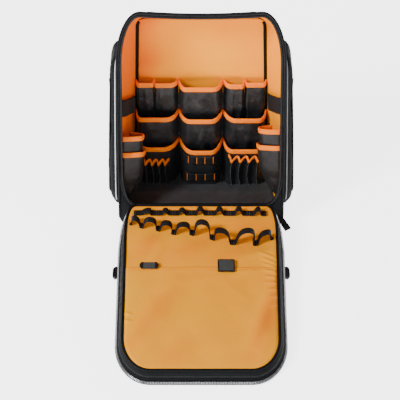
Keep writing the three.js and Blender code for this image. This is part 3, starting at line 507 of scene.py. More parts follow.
def outline(low, high, low_half, high_half, top, foot, sag, closed=False):
    def half(z):
        return lerp(low_half, high_half, (z - low) / (high - low))
    turn = np.linspace(0, math.pi / 2, STEPS["foot"] + 1)
    z1 = low + foot[1] * (1 - np.cos(turn))
    x1 = half(z1) - foot[0] * (1 - np.sin(turn))
    z2 = np.linspace(low + foot[1], high - top[1], STEPS["side"] + 1)[1:-1]
    x2 = half(z2)
    turn = np.linspace(0, math.pi / 2, STEPS["top"] + 1)
    z3 = high - top[1] * (1 - np.sin(turn))
    x3 = half(z3) - top[0] * (1 - np.cos(turn))
    x4 = np.linspace(x3[-1], 0, STEPS["mid"] + 1)[1:]
    z4 = high - sag * (1 - (x4 / x3[-1]) ** 2)
    x = np.concatenate([x1, x2, x3, x4])
    z = np.concatenate([z1, z2, z3, z4])
    x, z = np.concatenate([x, -x[-2::-1]]), np.concatenate([z, z[-2::-1]])
    if closed:
        xb = np.linspace(x[-1], x[0], STEPS["low"] + 1)[1:-1]
        x, z = np.concatenate([x, xb]), np.concatenate([z, np.full(len(xb), low)])
    return np.stack([x, z], axis=1)


def front_outline(inset=0.0, closed=False):
    return outline(BODY_LOW + inset, FRONT_HIGH - inset, FRONT_LOW_WIDTH / 2 - inset,
                   FRONT_HIGH_WIDTH / 2 - inset,
                   (48 - inset, 108 - inset), (24 - inset, 24 - inset), 4, closed)


def back_outline(inset=0.0, closed=False, corner=(30, 34)):
    return outline(BODY_LOW + inset, BACK_HIGH - inset, BACK_LOW_WIDTH / 2 - inset,
                   BACK_HIGH_WIDTH / 2 - inset,
                   (corner[0] - inset, corner[1] - inset), (24 - inset, 24 - inset), 4, closed)


def opening_outline(inset=RIM_WIDTH, closed=False):
    widest = FRONT_LOW_WIDTH / 2 - inset
    return outline(LIP, FRONT_HIGH - inset, widest, FRONT_HIGH_WIDTH / 2 - inset, (48 - inset, 108 - inset),
                   (widest - HINGE_HALF, HINGE_CURVE), 4, closed)


def swell(share):
    return 1 + SWELL * 4 * share * (1 - share)


def walls(inset, shares, closed=False, corner=(30, 34)):
    a, b = front_outline(inset, closed), back_outline(inset, closed, corner)
    rows = []
    for s in shares:
        x = lerp(a[:, 0], b[:, 0], s) * swell(s)
        z = lerp(a[:, 1], b[:, 1], s)
        y = lerp(front_y(a[:, 1]), back_y(b[:, 1]), s)
        rows.append(np.stack([x, y, z], axis=1))
    return np.array(rows)


def on_front(flat, forward=0.0):
    """Places on the plane of the opening, moved forward out of it"""
    x, z = flat[:, 0], flat[:, 1]
    return np.stack([x, front_y(z) - forward * math.cos(FRONT_LEAN), z + forward * math.sin(FRONT_LEAN)],
                    axis=1)


FRONT_OUT = np.array([0, -math.cos(FRONT_LEAN), math.sin(FRONT_LEAN)])


def wall_half(y, z):
    up = (z - BODY_LOW) / (FRONT_HIGH - BODY_LOW)
    back_up = (z - BODY_LOW) / (BACK_HIGH - BODY_LOW)
    front = lerp(FRONT_LOW_WIDTH, FRONT_HIGH_WIDTH, up) / 2
    back = lerp(BACK_LOW_WIDTH, BACK_HIGH_WIDTH, back_up) / 2
    share = (y - front_y(z)) / (back_y(z) - front_y(z))
    return lerp(front, back, share) * swell(share) - ROOM


def build_shell():
    shares = np.linspace(1, 0, 22)
    P = walls(0, shares, True)
    fade = np.sin(np.pi * np.clip(shares, 0, 1))[:, None] ** 0.5
    dent = ripple(P, 90, 3) * 0.9 + ripple(P, 34, 4) * 0.35 - crinkle(P, 120, 5) * 0.8
    P = P + outward(P) * ((dent - 0.6) * fade)[..., None]
    front = front_outline(0, True)
    inner = front_outline(2.2, True)
    mouth_a = opening_outline(RIM_WIDTH, True)
    rows = list(P)
    rows.append(on_front(lerp(front, inner, 0.3), 0.3))
    rows.append(on_front(inner, 0.9))
    for t, f in ((0.35, 0.8), (0.7, 0.4), (1.0, 0.1)):
        rows.append(on_front(lerp(inner, mouth_a, t), f))
    rows.append(on_front(opening_outline(10.6, True), -1.4))
    rows.append(on_front(opening_outline(10.4, True), -3.8))
    grid("shell_cloth_body", np.array(rows), SHELL, ("body_shell",),
                   wrap_cols=True)


def build_rim():
    ridge = on_front(front_outline(1.6), 0.9)
    foot = STEPS["foot"] - 1
    ridge = ridge[foot:-foot]
    sweep("rim_piping", ridge, round_section(2.6, 10), PIPING, up=FRONT_OUT)
    middle = on_front(opening_outline(5.5), 1.3)
    sweep("rim_zip_tape", middle, band_section(9.5, 1.2), ZIP_TAPE, ("rim_zip",), up=FRONT_OUT)
    inner = on_front(opening_outline(9.0), 2.2)
    spots, _ = along_path(inner, 2.7)
    along, side, lift = frames_along(spots, FRONT_OUT)
    scatter("rim_zip_teeth", spots, along, side, lift, (1.5, 3.4, 1.7), TEETH)
    stitches("rim_stitches", on_front(opening_outline(4.0), 1.9), FRONT_OUT, BLACK_THREAD)
    rear = np.array(walls(-0.2, [0.985], False)[0])
    sweep("rear_piping", rear[STEPS["foot"]:-STEPS["foot"]], round_section(2.4, 8), PIPING,
          up=(0, 1, 0))


# The lining's top corner, rounder than the shell's
LINING_CORNER = (21, 22)


def edge_table(flat):
    """Levels and half widths down an outline's right side, from low to high"""
    half = flat[: len(flat) // 2 + 1]
    order = np.argsort(half[:, 1], kind="stable")
    return half[order, 1], half[order, 0]


def build_side_lining():
    shares = np.linspace(0.032, 0.985, 26)
    P = walls(5.75, shares, True, LINING_CORNER)
    fade = np.sin(np.pi * (shares - 0.032) / 0.953)[:, None] ** 0.6
    folds = 0.5 * ripple(P, 70, 11) + 0.9 * crinkle(P, 95, 12)
    P = P + outward(P) * (folds * fade * 0.8)[..., None]
    # Painted shade and light: the left wall redder as shade, the right wall yellower as lit, and the left
    # wall slightly lighter higher up
    to_right = np.clip(P[..., 0] / 120 * 0.5 + 0.5, 0, 1)
    high = np.clip((P[..., 2] - 20) / 380, 0, 1)
    painted_light = 0.1 + 0.48 * to_right + 0.1 * high * (1 - to_right)
    grid("lining_cloth_sides", P, ORANGE, ("lining_sides",), wrap_cols=True, thick=1.0,
         painted_light=painted_light)


def build_back_lining():
    zs, xs = edge_table(back_outline(ROOM, corner=LINING_CORNER))
    levels = np.linspace(FLOOR_TOP, zs.max() - 0.4, 90)
    across = np.linspace(-1, 1, 90)
    rows = []
    for z in levels:
        half = np.interp(z, zs, xs)
        x = across * half
        rows.append(np.stack([x, np.full(90, back_y(z) - GAP - 0.8), np.full(90, z)], axis=1))
    P = np.array(rows)
    edge = (1 - across[None, :] ** 6) * np.ones((90, 1))
    upper = np.clip((P[..., 2] - 250) / 60, 0, 1) * np.clip((402 - P[..., 2]) / 25, 0, 1)
    puff = 1.6 * edge * upper + 0.5 * ripple(P, 80, 21) * edge
    crease = 1.5 * np.exp(-((P[..., 2] - 268 - 3 * np.sin(P[..., 0] / 30)) / 7) ** 2) * edge
    P[..., 1] -= np.clip(puff + crease, -0.6, 3.0)
    # Painted shade and light: redder towards the left wall as its shadow, darker near the top and at the
    # lower left, a painted highlight band at 285 mm, and slight random variation
    from_left = np.clip((P[..., 0] + 136) / 75, 0, 1)
    near_top = np.clip((P[..., 2] - 385) / 20, 0, 1)
    low_left = np.exp(-((P[..., 0] + 120) / 45) ** 2) * np.exp(-((P[..., 2] - 290) / 45) ** 2)
    seam_light = np.exp(-((P[..., 2] - 285) / 8) ** 2)
    painted_light = (0.22 + 0.36 * from_left * from_left * (3 - 2 * from_left) - 0.1 * near_top - 0.1 * low_left
            + 0.06 * seam_light + 0.04 * ripple(P, 90, 22))
    grid("lining_cloth_back", P, ORANGE, ("lining_back",), thick=0.8, painted_light=painted_light)


def build_corner_seams():
    seam = walls(8.2, [0.968], False, LINING_CORNER)[0]
    tall = STEPS["foot"] + STEPS["side"] + 8
    for word, line in (("right", seam[STEPS["foot"] - 2:tall]),
                       ("left", seam[::-1][STEPS["foot"] - 2:tall])):
        sweep(f"corner_seam_tape_{word}", line, band_section(9.0, 2.6), PIPING,
              up=(0, -1, 0))


def build_backing():
    """Cloth behind the back pockets, over the lining"""
    rows = []
    for z in np.linspace(FLOOR_TOP + 4, TOP_MOUTH - 34, 40):
        x = np.linspace(-1, 1, 60) * (wall_half(back_plane(z), z) - 0.5)
        rows.append(np.stack([x, np.full(60, back_plane(z) - 0.1), np.full(60, z)], axis=1))
    grid("pocket_backing_cloth", np.array(rows), POCKET, thick=0.5)


def build_floor_mat():
    foot = STEPS["foot"]
    rows = []
    for t in np.linspace(0, 1, 40):
        s = lerp(0.035, 0.975, t)
        line = walls(5.6, [s], True)[0]
        half = line[foot // 2, 0]
        y = line[foot // 2, 1]
        x = np.linspace(-half, half, 60)
        lift = 5.5 * np.clip((np.abs(x) / half - 0.86) / 0.14, 0, 1) ** 2
        fall = 4.5 * np.clip((t - 0.93) / 0.07, 0, 1) ** 2 + 6 * np.clip((0.06 - t) / 0.06, 0, 1) ** 2
        rows.append(np.stack([x, np.full(60, y), FLOOR_TOP + 0.2 + np.maximum(lift, fall)], axis=1))
    P = np.array(rows)
    ridge = 0.9 * np.exp(-((np.linspace(0, 1, 40)[:, None] - 0.62) / 0.05) ** 2) * np.ones((1, 60))
    P[..., 2] += 0.5 * ripple(P, 60, 31) + 1.6 * ridge + 0.8 * crinkle(P, 80, 32)
    grid("floor_mat_cloth", P, FLOOR_CLOTH, ("floor_mat",), thick=1.4)


# Pockets

# Levels of a hanging and of a standing pocket: share of the height, share of the reach, and tuck
HANGING = ((1, 1, 0), (0.46, 0.8, 0), (0.39, 0.7, 1), (0.15, 0.4, 1), (0, 0.14, 1))
STANDING = ((1, 1, 0), (0.5, 0.88, 0), (0, 0.62, 0))


def profile(levels, level):
    """A pocket's reach and tuck at a level, as the solids have them, smoothed"""
    z = np.array([row[0] for row in levels][::-1])
    reach = np.array([row[1] for row in levels][::-1])
    tuck = np.array([row[2] for row in levels][::-1], dtype=float)
    near = [np.clip(level + d, 0, 1) for d in (-0.05, -0.02, 0.02, 0.05)]
    return (float(np.mean([np.interp(v, z, reach) for v in near])),
            float(np.mean([np.interp(v, z, tuck) for v in near])))


def pocket_plan(spec, reach, tuck, inset, flat_steps=14):
    share = reach / spec["reach"]
    side = inset * 1.2 + tuck * TIER_INSET
    out = max(reach - inset, 0.4)
    t = np.linspace(0, 1, 13)
    belly = 2 * t * (1 - t) * 0.3 + t * t
    lift = out * (2 * t * (1 - t) + t * t)
    left = spec["left"] + side + spec["left_run"] * share * belly
    right = (spec["right"] - side - spec["right_run"] * share * belly)[::-1]
    middle = np.linspace(left[-1], right[0], flat_steps + 1)[1:-1]
    return np.stack([np.concatenate([left, middle, right]),
                     np.concatenate([lift, np.full(len(middle), out), lift[::-1]])], axis=1)


def plan_normals(plan):
    along = np.gradient(plan, axis=0)
    return unit(np.stack([-along[:, 1], along[:, 0]], axis=1))


def back_plane(z):
    return back_y(z) - 2.1


def on_back(plan, z):
    z = np.broadcast_to(z, plan.shape[:1])
    return np.stack([plan[:, 0], back_plane(z) - plan[:, 1], z], axis=1)


def on_side(side):
    def place(plan, z):
        level = z - SIDE_FALL * plan[:, 0]
        y = front_y(level) + 4 + plan[:, 0]
        return np.stack([side * (wall_half(y, level) - GAP - plan[:, 1]), y, level], axis=1)
    return place


def cloth_pocket(name, spec, levels, foot, mouth, place, seed, gather=1.0, folds=()):
    rows = []
    count = 34
    for r in range(count):
        level = 1 - r / (count - 1)
        z = lerp(foot, mouth, level)
        reach, tuck = profile(levels, level)
        plan = pocket_plan(spec, reach * spec["reach"], tuck, 0.7)
        n = plan_normals(plan)
        u = np.linspace(0, 1, len(plan))
        middle = np.sin(np.pi * u) ** 0.7
        belly = 0.9 * math.sin(math.pi * min(1, (1 - level) * 1.6)) * middle
        tuckfold = gather * 1.1 * (1 - level) ** 1.5 * np.cos(u * 2 * np.pi * spec.get("folds", 5) + seed)
        move = belly + tuckfold * middle
        deep = math.sin(math.pi * min(1, (1 - level) * 1.15)) ** 0.7
        for at, width, high, lean in folds:
            spot = at + lean * (1 - level)
            move = move + high * np.exp(-((u - spot) / width) ** 2) * deep * middle
        plan = plan + n * move[:, None]
        rows.append(place(plan, np.full(len(plan), z)))
    P = np.array(rows)
    n = normals_of(P)
    soft = np.linspace(0, 1, count)[:, None] ** 0.5
    soft = soft * np.sin(np.pi * np.linspace(0, 1, P.shape[1]))[None, :] ** 0.5
    P = P + n * ((0.6 * ripple(P, 26, seed) + 1.5 * crinkle(P, 36, seed + 7) - 0.4) * soft * 0.9)[..., None]
    return grid(name + "_cloth", P, POCKET, (name,), thick=1.3)


# The section of the tape folded over a pocket's mouth: out from the cloth, and up
TAPE_RING = ((1.0, -10.0), (1.8, -9.7), (2.0, -7.5), (1.9, -5.0), (2.0, -2.5), (1.8, -0.6), (1.1, 0.7),
             (0.0, 1.2), (-1.0, 0.7), (-1.4, -0.6), (-1.5, -5.0), (-1.3, -9.0), (-0.3, -9.6))


def mouth_tape(name, spec, levels, foot, mouth, place, replaces=(), seed=0):
    rows = []
    for out, dz in TAPE_RING:
        level = min(1, (mouth + dz - foot) / (mouth - foot))
        reach, tuck = profile(levels, level)
        plan = pocket_plan(spec, reach * spec["reach"], tuck, 0.7)
        u = np.linspace(0, 1, len(plan))
        belly = 0.9 * math.sin(math.pi * min(1, (1 - level) * 1.6)) * np.sin(np.pi * u) ** 0.7
        wob = 0.35 * np.sin(u * 23 + seed) + 0.25 * np.sin(u * 41 + seed * 2)
        plan = plan + plan_normals(plan) * (out + belly + wob * 0.6)[:, None]
        rows.append(place(plan, np.full(len(plan), mouth + dz) + wob * 0.4))
    P = np.array(rows).transpose(1, 0, 2)
    return grid(name, P, TAPE, replaces, wrap_cols=True, caps=True)


# Each tier: its name, mouth, foot, levels and pockets. A pocket has its name, column, start and end in the
# column, share of the reach, and the runs of its left and right corner
TIERS = (
    ("top", TOP_MOUTH, TOP_MOUTH - 1.6 * TIER_STEP, HANGING, (
        ("pocket_top_1", 0, 0.0, LEFT_SPLIT, 0.33, 0.35, 0.2),
        ("pocket_top_2", 0, LEFT_SPLIT, 1.0, 0.35, 0.2, 0.95),
        ("pocket_top_3", 1, 0.0, 1.0, 0.65, 0.45, 0.6),
        ("pocket_top_4", 2, 0.0, RIGHT_SPLIT, 0.44, 0.8, 0.25),
        ("pocket_top_5", 2, RIGHT_SPLIT, 1.0, 0.33, 0.25, 0.4))),
    ("middle", TOP_MOUTH - TIER_STEP, TOP_MOUTH - 2.55 * TIER_STEP, HANGING, (
        ("pocket_middle_1", 0, 0.0, 1.0, 0.69, 0.3, 0.72),
        ("pocket_middle_2", 1, 0.0, 1.0, 0.82, 0.56, 0.6),
        ("pocket_middle_3", 2, 0.0, 1.0, 0.76, 0.68, 0.45))),
    ("low", TOP_MOUTH - 2 * TIER_STEP, FLOOR_TOP + 0.6, STANDING, (
        ("pocket_low_1", 0, 0.0, 1.0, 0.78, 0.75, 0.86),
        ("pocket_low_2", 1, 0.0, 1.0, 1.0, 0.62, 0.5),
        ("pocket_low_3", 2, 0.0, 1.0, 0.91, 0.42, 0.26))),
)


def column_ends(column, mouth):
    edge = wall_half(back_plane(mouth), mouth) - GAP
    return ((-edge, COLUMNS[0]), COLUMNS, (COLUMNS[1], edge))[column]


def back_pocket_specs():
    for tier, mouth, foot, levels, rows in TIERS:
        for name, column, start, end, reach, left_run, right_run in rows:
            a, b = column_ends(column, mouth)
            size = reach * POCKET_REACH
            spec = {"name": name, "left": lerp(a, b, start) + GAP, "right": lerp(a, b, end) - GAP,
                    "reach": size, "left_run": left_run * size, "right_run": right_run * size}
            yield tier, mouth, foot, levels, spec


# Vertical folds of a pocket: place across, width, height and lean
POCKET_FOLDS = {
    "pocket_top_1": ((0.5, 0.06, 1.4, 0.05),),
    "pocket_top_2": ((0.42, 0.07, 1.6, 0.1), (0.7, 0.05, 1.2, 0.0)),
    "pocket_top_3": ((0.3, 0.05, 2.6, 0.35), (0.62, 0.06, 2.0, -0.3), (0.8, 0.03, 1.2, 0.05)),
    "pocket_top_4": ((0.34, 0.05, 2.6, 0.02), (0.68, 0.05, 1.2, -0.05)),
    "pocket_top_5": ((0.3, 0.045, 2.6, 0.02), (0.62, 0.05, 1.2, 0.0)),
    "pocket_middle_1": ((0.38, 0.07, 2.0, 0.2), (0.7, 0.05, 1.6, -0.2)),
    "pocket_middle_2": ((0.34, 0.035, 3.4, 0.3), (0.62, 0.04, 3.0, -0.25), (0.48, 0.025, 2.2, 0.12),
                        (0.75, 0.03, 1.8, -0.3)),
    "pocket_middle_3": ((0.3, 0.05, 2.4, 0.3), (0.6, 0.05, 1.8, -0.15), (0.8, 0.04, 1.4, -0.2)),
    "pocket_low_1": ((0.8, 0.05, 1.6, 0.0),),
}


def build_back_pockets():
    taken = set()
    low = []
    for i, (tier, mouth, foot, levels, spec) in enumerate(back_pocket_specs()):
        name = spec["name"]
        spec["folds"] = 3 if "top" in name else 5
        cloth_pocket(name, spec, levels, foot, mouth, on_back, 40 + i, folds=POCKET_FOLDS.get(name, ()))
        tape = "binding_" + tier
        mouth_tape("tape_" + name, spec, levels, foot, mouth, on_back,
                   replaces=() if tape in taken else (tape,), seed=i)
        taken.add(tape)
        if tier == "low":
            low.append((spec, levels, foot, mouth))
    return low


def face_at(pocket, z, share):
    """Places and outward reach on a low pocket's face at shares of its width"""
    spec, levels, foot, mouth = pocket
    reach, tuck = profile(levels, (z - foot) / (mouth - foot))
    plan = pocket_plan(spec, reach * spec["reach"], tuck, 0)
    x = lerp(spec["left"], spec["right"], share)
    return x, np.interp(x, plan[:, 0], plan[:, 1])


# Each band of the webbing board: its level, height, the tacks' height and their places across
BOARD_BANDS = {"upper": (92, 20, 17, (0.14, 0.385, 0.62, 0.86)),
               "lower": (40, 24, 18, (0.1, 0.365, 0.63, 0.9))}
# The section of the tape along the pleats: out from the cloth, and down
PLEAT_RING = ((1.5, 6.8), (1.7, 3.4), (1.4, 0.2), (0, -0.9), (-1.3, 0.2), (-1.4, 3.4), (-1.2, 6.2),
              (0, 6.6))


def build_low_front(low):
    foot = FLOOR_TOP + 0.6
    for word, pocket, start, end in (("left", low[0], 0.16, 0.76), ("right", low[2], 0.12, 0.9)):
        u = np.linspace(0, 1, 97)
        share = lerp(start, end, u)
        tall = PLEAT_HEIGHT[word]
        zig = 0.5 - 0.5 * np.cos(2 * np.pi * 4 * u)
        rows = []
        for r in range(26):
            level = 1 - r / 25
            z = np.full(len(u), lerp(foot, foot + tall, level)) + (1.5 - 6.5 * zig) * level
            x, out = face_at(pocket, float(z.mean()), share)
            twist = 2.0 * np.sin(np.pi * 4 * 2 * u + 0.8) * level
            lift = 2.6 + 9.6 * zig ** 0.8 * (0.5 + 0.5 * level)
            bend = 5 * np.sin(np.pi * (1 - level)) * PLEAT_LEAN[word] * np.sin(np.pi * u) ** 0.5
            plan = np.stack([x + twist - bend, out + lift], axis=1)
            rows.append(on_back(plan, z))
        P = np.array(rows)
        grid(f"pleats_{word}_cloth", P, POCKET, ("pleat_pocket_" + word,), thick=1.2)
        line = P[0]
        down = P[3] - P[0]
        down /= np.linalg.norm(down, axis=1, keepdims=True)
        out = -normals_of(P)[0]
        out *= np.sign((out * np.array([0, -1, 0])).sum(axis=1, keepdims=True).mean())
        T = np.array([[line[k] + out[k] * a + down[k] * b for a, b in PLEAT_RING] for k in range(len(u))])
        grid(f"pleats_{word}_tape", T, TAPE, ("pleat_binding_" + word,), wrap_cols=True,
             caps=True)
        for k, crest in enumerate(range(12, 97, 24)):
            edge = np.array([P[r][crest] + np.array([0, -0.9, 0]) for r in range(3, 26)])
            sweep(f"pleats_{word}_edge_{k}", edge, round_section(0.55, 6), GREY_EDGE,
                  up=(1, 0, 0))
        valleys = [24 * k for k in range(0, 5)]
        tacks = np.array([lerp(P[r][k], P[r + 1][k], 0.5) for k in valleys for r in range(2, 24, 2)])
        face = np.array([0, -1.0, 0.05])
        scatter(f"pleats_{word}_stitches", tacks + face * 0.9, (0, 0.05, 1), (1, 0, 0), face,
                (2.4, 0.7, 0.7), BLACK_THREAD)

    pocket = low[1]
    u = np.linspace(0, 1, 81)
    share = lerp(0.1, 0.9, u)
    for k, (name, (z_mid, tall, tall_tack, tacks)) in enumerate(BOARD_BANDS.items()):
        rows = []
        lift = np.ones(len(u)) * 2.6
        for a, b in zip(tacks, tacks[1:]):
            inside = (u >= a) & (u <= b)
            lift[inside] += 1.8 * np.sin(np.pi * (u[inside] - a) / (b - a)) ** 0.8
        for dz in np.linspace(tall / 2, -tall / 2, 8):
            z = z_mid + dz
            x, out = face_at(pocket, z, share)
            wave_z = 1.0 * np.sin(u * 9 + k) * (1 if k == 0 else 0.5)
            rows.append(on_back(np.stack([x, out + lift], axis=1), np.full(len(u), z) + wave_z))
        grid(f"board_band_{name}", np.array(rows), WEB_UP, thick=1.6)
        spots = []
        for a in tacks:
            for dz in np.linspace(tall_tack / 2, -tall_tack / 2, 13):
                z = z_mid + dz
                x, out = face_at(pocket, z, np.array([lerp(0.1, 0.9, a)]))
                spots.append((x[0], back_plane(z) - out[0] - 3.9, z))
        scatter(f"board_tacks_{name}", np.array(spots), (0, 0, 1), (1, 0, 0), (0, -1, 0), (1.9, 1.5, 1.4),
                THREAD)
    rows = []
    for z in np.linspace(foot + BOARD_HEIGHT, foot + 1, 24):
        x, out = face_at(pocket, z, share)
        bulge = 1.2 + 1.6 * math.exp(-((z - 64) / 9) ** 2) * (0.7 + 0.3 * np.sin(u * 8 + 1))
        rows.append(on_back(np.stack([x, out + bulge], axis=1), np.full(len(u), z)))
    grid("board_cloth", np.array(rows), POCKET, ("webbing_board",), thick=1.0)


# Each side pocket: its drop below the upper mouth, height, share of the reach, and its start and end
SIDE_POCKETS = {"upper": (0, 92, 1.0, 14, 96), "lower": (SIDE_STEP, 116, 1.08, 10, 99)}
SIDE_FOLDS = ((0.4, 0.08, 2.6, 0.25), (0.66, 0.06, -1.8, -0.1))


def build_side_pockets():
    for word, side in (("left", -1), ("right", 1)):
        place = on_side(side)
        for k, (name, (drop, tall, reach, start, end)) in enumerate(SIDE_POCKETS.items()):
            spec = {"left": start, "right": end, "reach": reach * SIDE_REACH, "left_run": 0.5 * SIDE_REACH,
                    "right_run": 1.3 * SIDE_REACH, "folds": 3}
            mouth = SIDE_MOUTH - drop + SIDE_RISE[word]
            node = f"side_pocket_{name}_{word}"
            seed = 70 + k + (5 if side > 0 else 0)
            cloth_pocket(node, spec, HANGING, mouth - tall, mouth, place, seed, folds=SIDE_FOLDS,
                         gather=1.8)
            mouth_tape("tape_" + node, spec, HANGING, mouth - tall, mouth, place,
                       replaces=(f"side_binding_{name}_{word}",), seed=k + 9)
        loop = {"left": 6, "right": 118, "reach": 9.0, "left_run": 22.0, "right_run": 40.0}
        rows = []
        for z in np.linspace(ELASTIC_LEVEL[word] + 18, ELASTIC_LEVEL[word] - 18, 10):
            plan = pocket_plan(loop, 9.0, 0, 0.8, flat_steps=24)
            u = np.linspace(0, 1, len(plan))
            plan = plan + plan_normals(plan) * (1.2 * np.sin(u * 11 + side))[:, None] * 0.5
            if side > 0:
                plan[:, 1] += 2.0 * np.exp(-((u - 0.12) / 0.06) ** 2) * (z - ELASTIC_LEVEL[word]) / 18
            rows.append(place(plan, np.full(len(plan), z)))
        grid(f"elastic_{word}_web", np.array(rows), WEB_UP, (f"elastic_band_{word}",), thick=1.5)


# Outside of the body

# Outer side pockets by level: share of the wall where they start and end, and reach
OUTER_ROWS = ((0, 0.13, 0.8, 0.62), (0.035, 0.08, 0.87, 0.9), (0.1, 0.06, 0.9, 1), (0.45, 0.07, 0.9, 0.85),
              (0.8, 0.08, 0.9, 0.68), (0.93, 0.1, 0.87, 0.64), (0.98, 0.16, 0.8, 0.54), (1, 0.24, 0.7, 0.4))


def outer_row(level):
    table = np.array(OUTER_ROWS)
    near = [np.clip(level + d, 0, 1) for d in (-0.012, 0, 0.012)]
    return [float(np.mean([np.interp(v, table[:, 0], table[:, c]) for v in near])) for c in (1, 2, 3)]


def build_outer_pockets():
    for word, side in (("left", -1), ("right", 1)):
        levels = np.concatenate([np.linspace(0, 0.12, 12), np.linspace(0.12, 0.85, 30)[1:],
                                 np.linspace(0.85, 1, 14)[1:]])
        rows, seam_front, seam_back, zip_line = [], [], [], []
        for level in levels:
            z = lerp(OUTER_LOW, OUTER_HIGH, level)
            front, back, reach = outer_row(level)
            y0 = front_y(z)
            run = back_y(z) - y0
            near, far = y0 + run * front, y0 + run * back
            root = wall_half(lerp(near, far, 0.5), z) + ROOM
            out = lerp(root, OUTER_HALF, reach)
            t = np.linspace(0, math.pi, 30)
            c = np.sign(np.cos(t)) * np.abs(np.cos(t)) ** 0.42
            s = np.abs(np.sin(t)) ** 0.5
            y = lerp(near, far, 0.5 - c * 0.5)
            inner = np.array([wall_half(v, z) + ROOM for v in y])
            x = inner - 1.5 + (out - inner + 0.8) * s
            rows.append(np.stack([side * x, y, np.full(len(y), z)], axis=1))
            seam_front.append((side * (x[1] + 0.3), y[1] - 0.6, z))
            seam_back.append((side * (x[-4] + 0.3), y[-4] + 0.2, z))
            zip_line.append((side * (x[9] + 0.5), y[9], z))
        P = np.array(rows)
        n = normals_of(P)
        n *= np.sign((n[..., 0] * side).mean())
        fade = np.sin(np.pi * np.linspace(0, 1, P.shape[1]))[None, :] ** 0.5
        P = P + n * ((0.9 * ripple(P, 60, 90 + side) - 1.4 * crinkle(P, 75, 95 + side) - 0.4)
                     * fade)[..., None]
        top, low = [], []
        for share in (0.3, 0.6, 0.85, 1.0):
            for rim, rise, ends in ((P[-1], 3.5, top), (P[0], -3.0, low)):
                ring = rim.copy()
                root = np.array([wall_half(v, rim[0, 2]) + ROOM - 1.5 for v in rim[:, 1]])
                ring[:, 0] = side * lerp(np.abs(rim[:, 0]), root, share)
                ring[:, 2] += rise * math.sin(share * math.pi / 2)
                ends.append(ring)
        rows = low[::-1] + list(P) + top
        grid(f"outer_pocket_{word}_cloth", np.array(rows), SHELL, (f"outer_pocket_{word}",),
             thick=1.2)
        # Painted shade: the right piping takes the darker copy of the same piping
        lit_or_shaded_piping = SILVER if side < 0 else PAINTED_SHADE_SILVER
        sweep(f"outer_piping_{word}", np.array(seam_front)[4:], round_section(1.35, 8), lit_or_shaded_piping,
              up=(side, 0, 0))
        sweep(f"outer_seam_{word}", np.array(seam_back)[4:-3], round_section(1.5, 8), PIPING,
              up=(side, 0, 0))
        zl = np.array(zip_line)[8:-10]
        face = np.array([side, -0.15, 0.0])
        sweep(f"outer_zip_{word}", zl, band_section(11, 1.4), ZIP_TAPE, up=face)
        spots, _ = along_path(zl, 2.8)
        along, across, lift = frames_along(spots, face)
        scatter(f"outer_teeth_{word}", spots + lift * 0.9, along, across, lift, (1.6, 4.2, 1.4), TEETH)
        top = zl[-4]
        pull = np.array([top + face * 2.2 + np.array([0, 0, -d]) for d in (0, 3, 6, 12, 20, 30)])
        sweep(f"outer_pull_{word}", pull, band_section(5, 1.4), BUCKLE, up=face,
              scale=[1.2, 1.2, 0.7, 0.9, 1.0, 0.6])


# The boot's section, from its top edge down over its ribs to its underside: level, and how far out
BOOT_ROWS = ((BOOT_HIGH, 0.6), (BOOT_HIGH, 3.2), (39.2, 4.1), (37.5, 4.3), (33, 4.3), (32, 3.6),
             (30.6, 3.6),
             (29.6, 4.3), (24, 4.3), (23, 3.6), (21.6, 3.6), (20.6, 4.3), (15, 4.3), (14, 3.6), (12.6, 3.6),
             (11.6, 4.2), (7, 3.2), (3, 0.4), (1, -3.5), (0.1, -9), (0.1, -30), (0.1, -80))


def build_boot():
    count = 120
    turn = np.linspace(0, 2 * math.pi, count, endpoint=False)

    def plan_at(z, out):
        """The boot's plan at one height: a rounded box whose front is wider than its back"""
        front_half = lerp(FRONT_LOW_WIDTH, FRONT_HIGH_WIDTH, (z - BODY_LOW) / (FRONT_HIGH - BODY_LOW)) / 2
        back_half = lerp(BACK_LOW_WIDTH, BACK_HIGH_WIDTH, (z - BODY_LOW) / (BACK_HIGH - BODY_LOW)) / 2
        f, b = front_y(z), back_y(z) + BACK_PAD
        c, s = np.cos(turn), np.sin(turn)
        px = np.sign(c) * np.abs(c) ** 0.22
        py = np.sign(s) * np.abs(s) ** 0.22
        y = lerp(f - out, b + out, 0.5 + 0.5 * py)
        share = np.clip((y - f) / (b - f), 0, 1)
        half = lerp(front_half, back_half, share) * swell(share) + out
        return np.stack([px * half, y], axis=1)

    rows = []
    for z, out in BOOT_ROWS:
        plan = plan_at(max(z, 1), out)
        if out <= -30:
            plan = plan_at(1, -9)
            centre = plan.mean(axis=0)
            plan = centre + (plan - centre) * (0.6 if out > -60 else 0.05)
        elif z < 12:
            curl = BOOT_CURVE - math.sqrt(BOOT_CURVE ** 2 - (BOOT_CURVE - z) ** 2)
            plan = plan_at(12, 4.2)
            centre = plan.mean(axis=0)
            scale = 1 - np.array([curl * 0.55 / 175, curl * 0.5 / 92])
            plan = centre + (plan - centre) * scale
        rows.append(np.stack([plan[:, 0], plan[:, 1], np.full(count, z)], axis=1))
    grid("boot_moulding", np.array(rows), BOOT, ("base_boot",), wrap_cols=True)


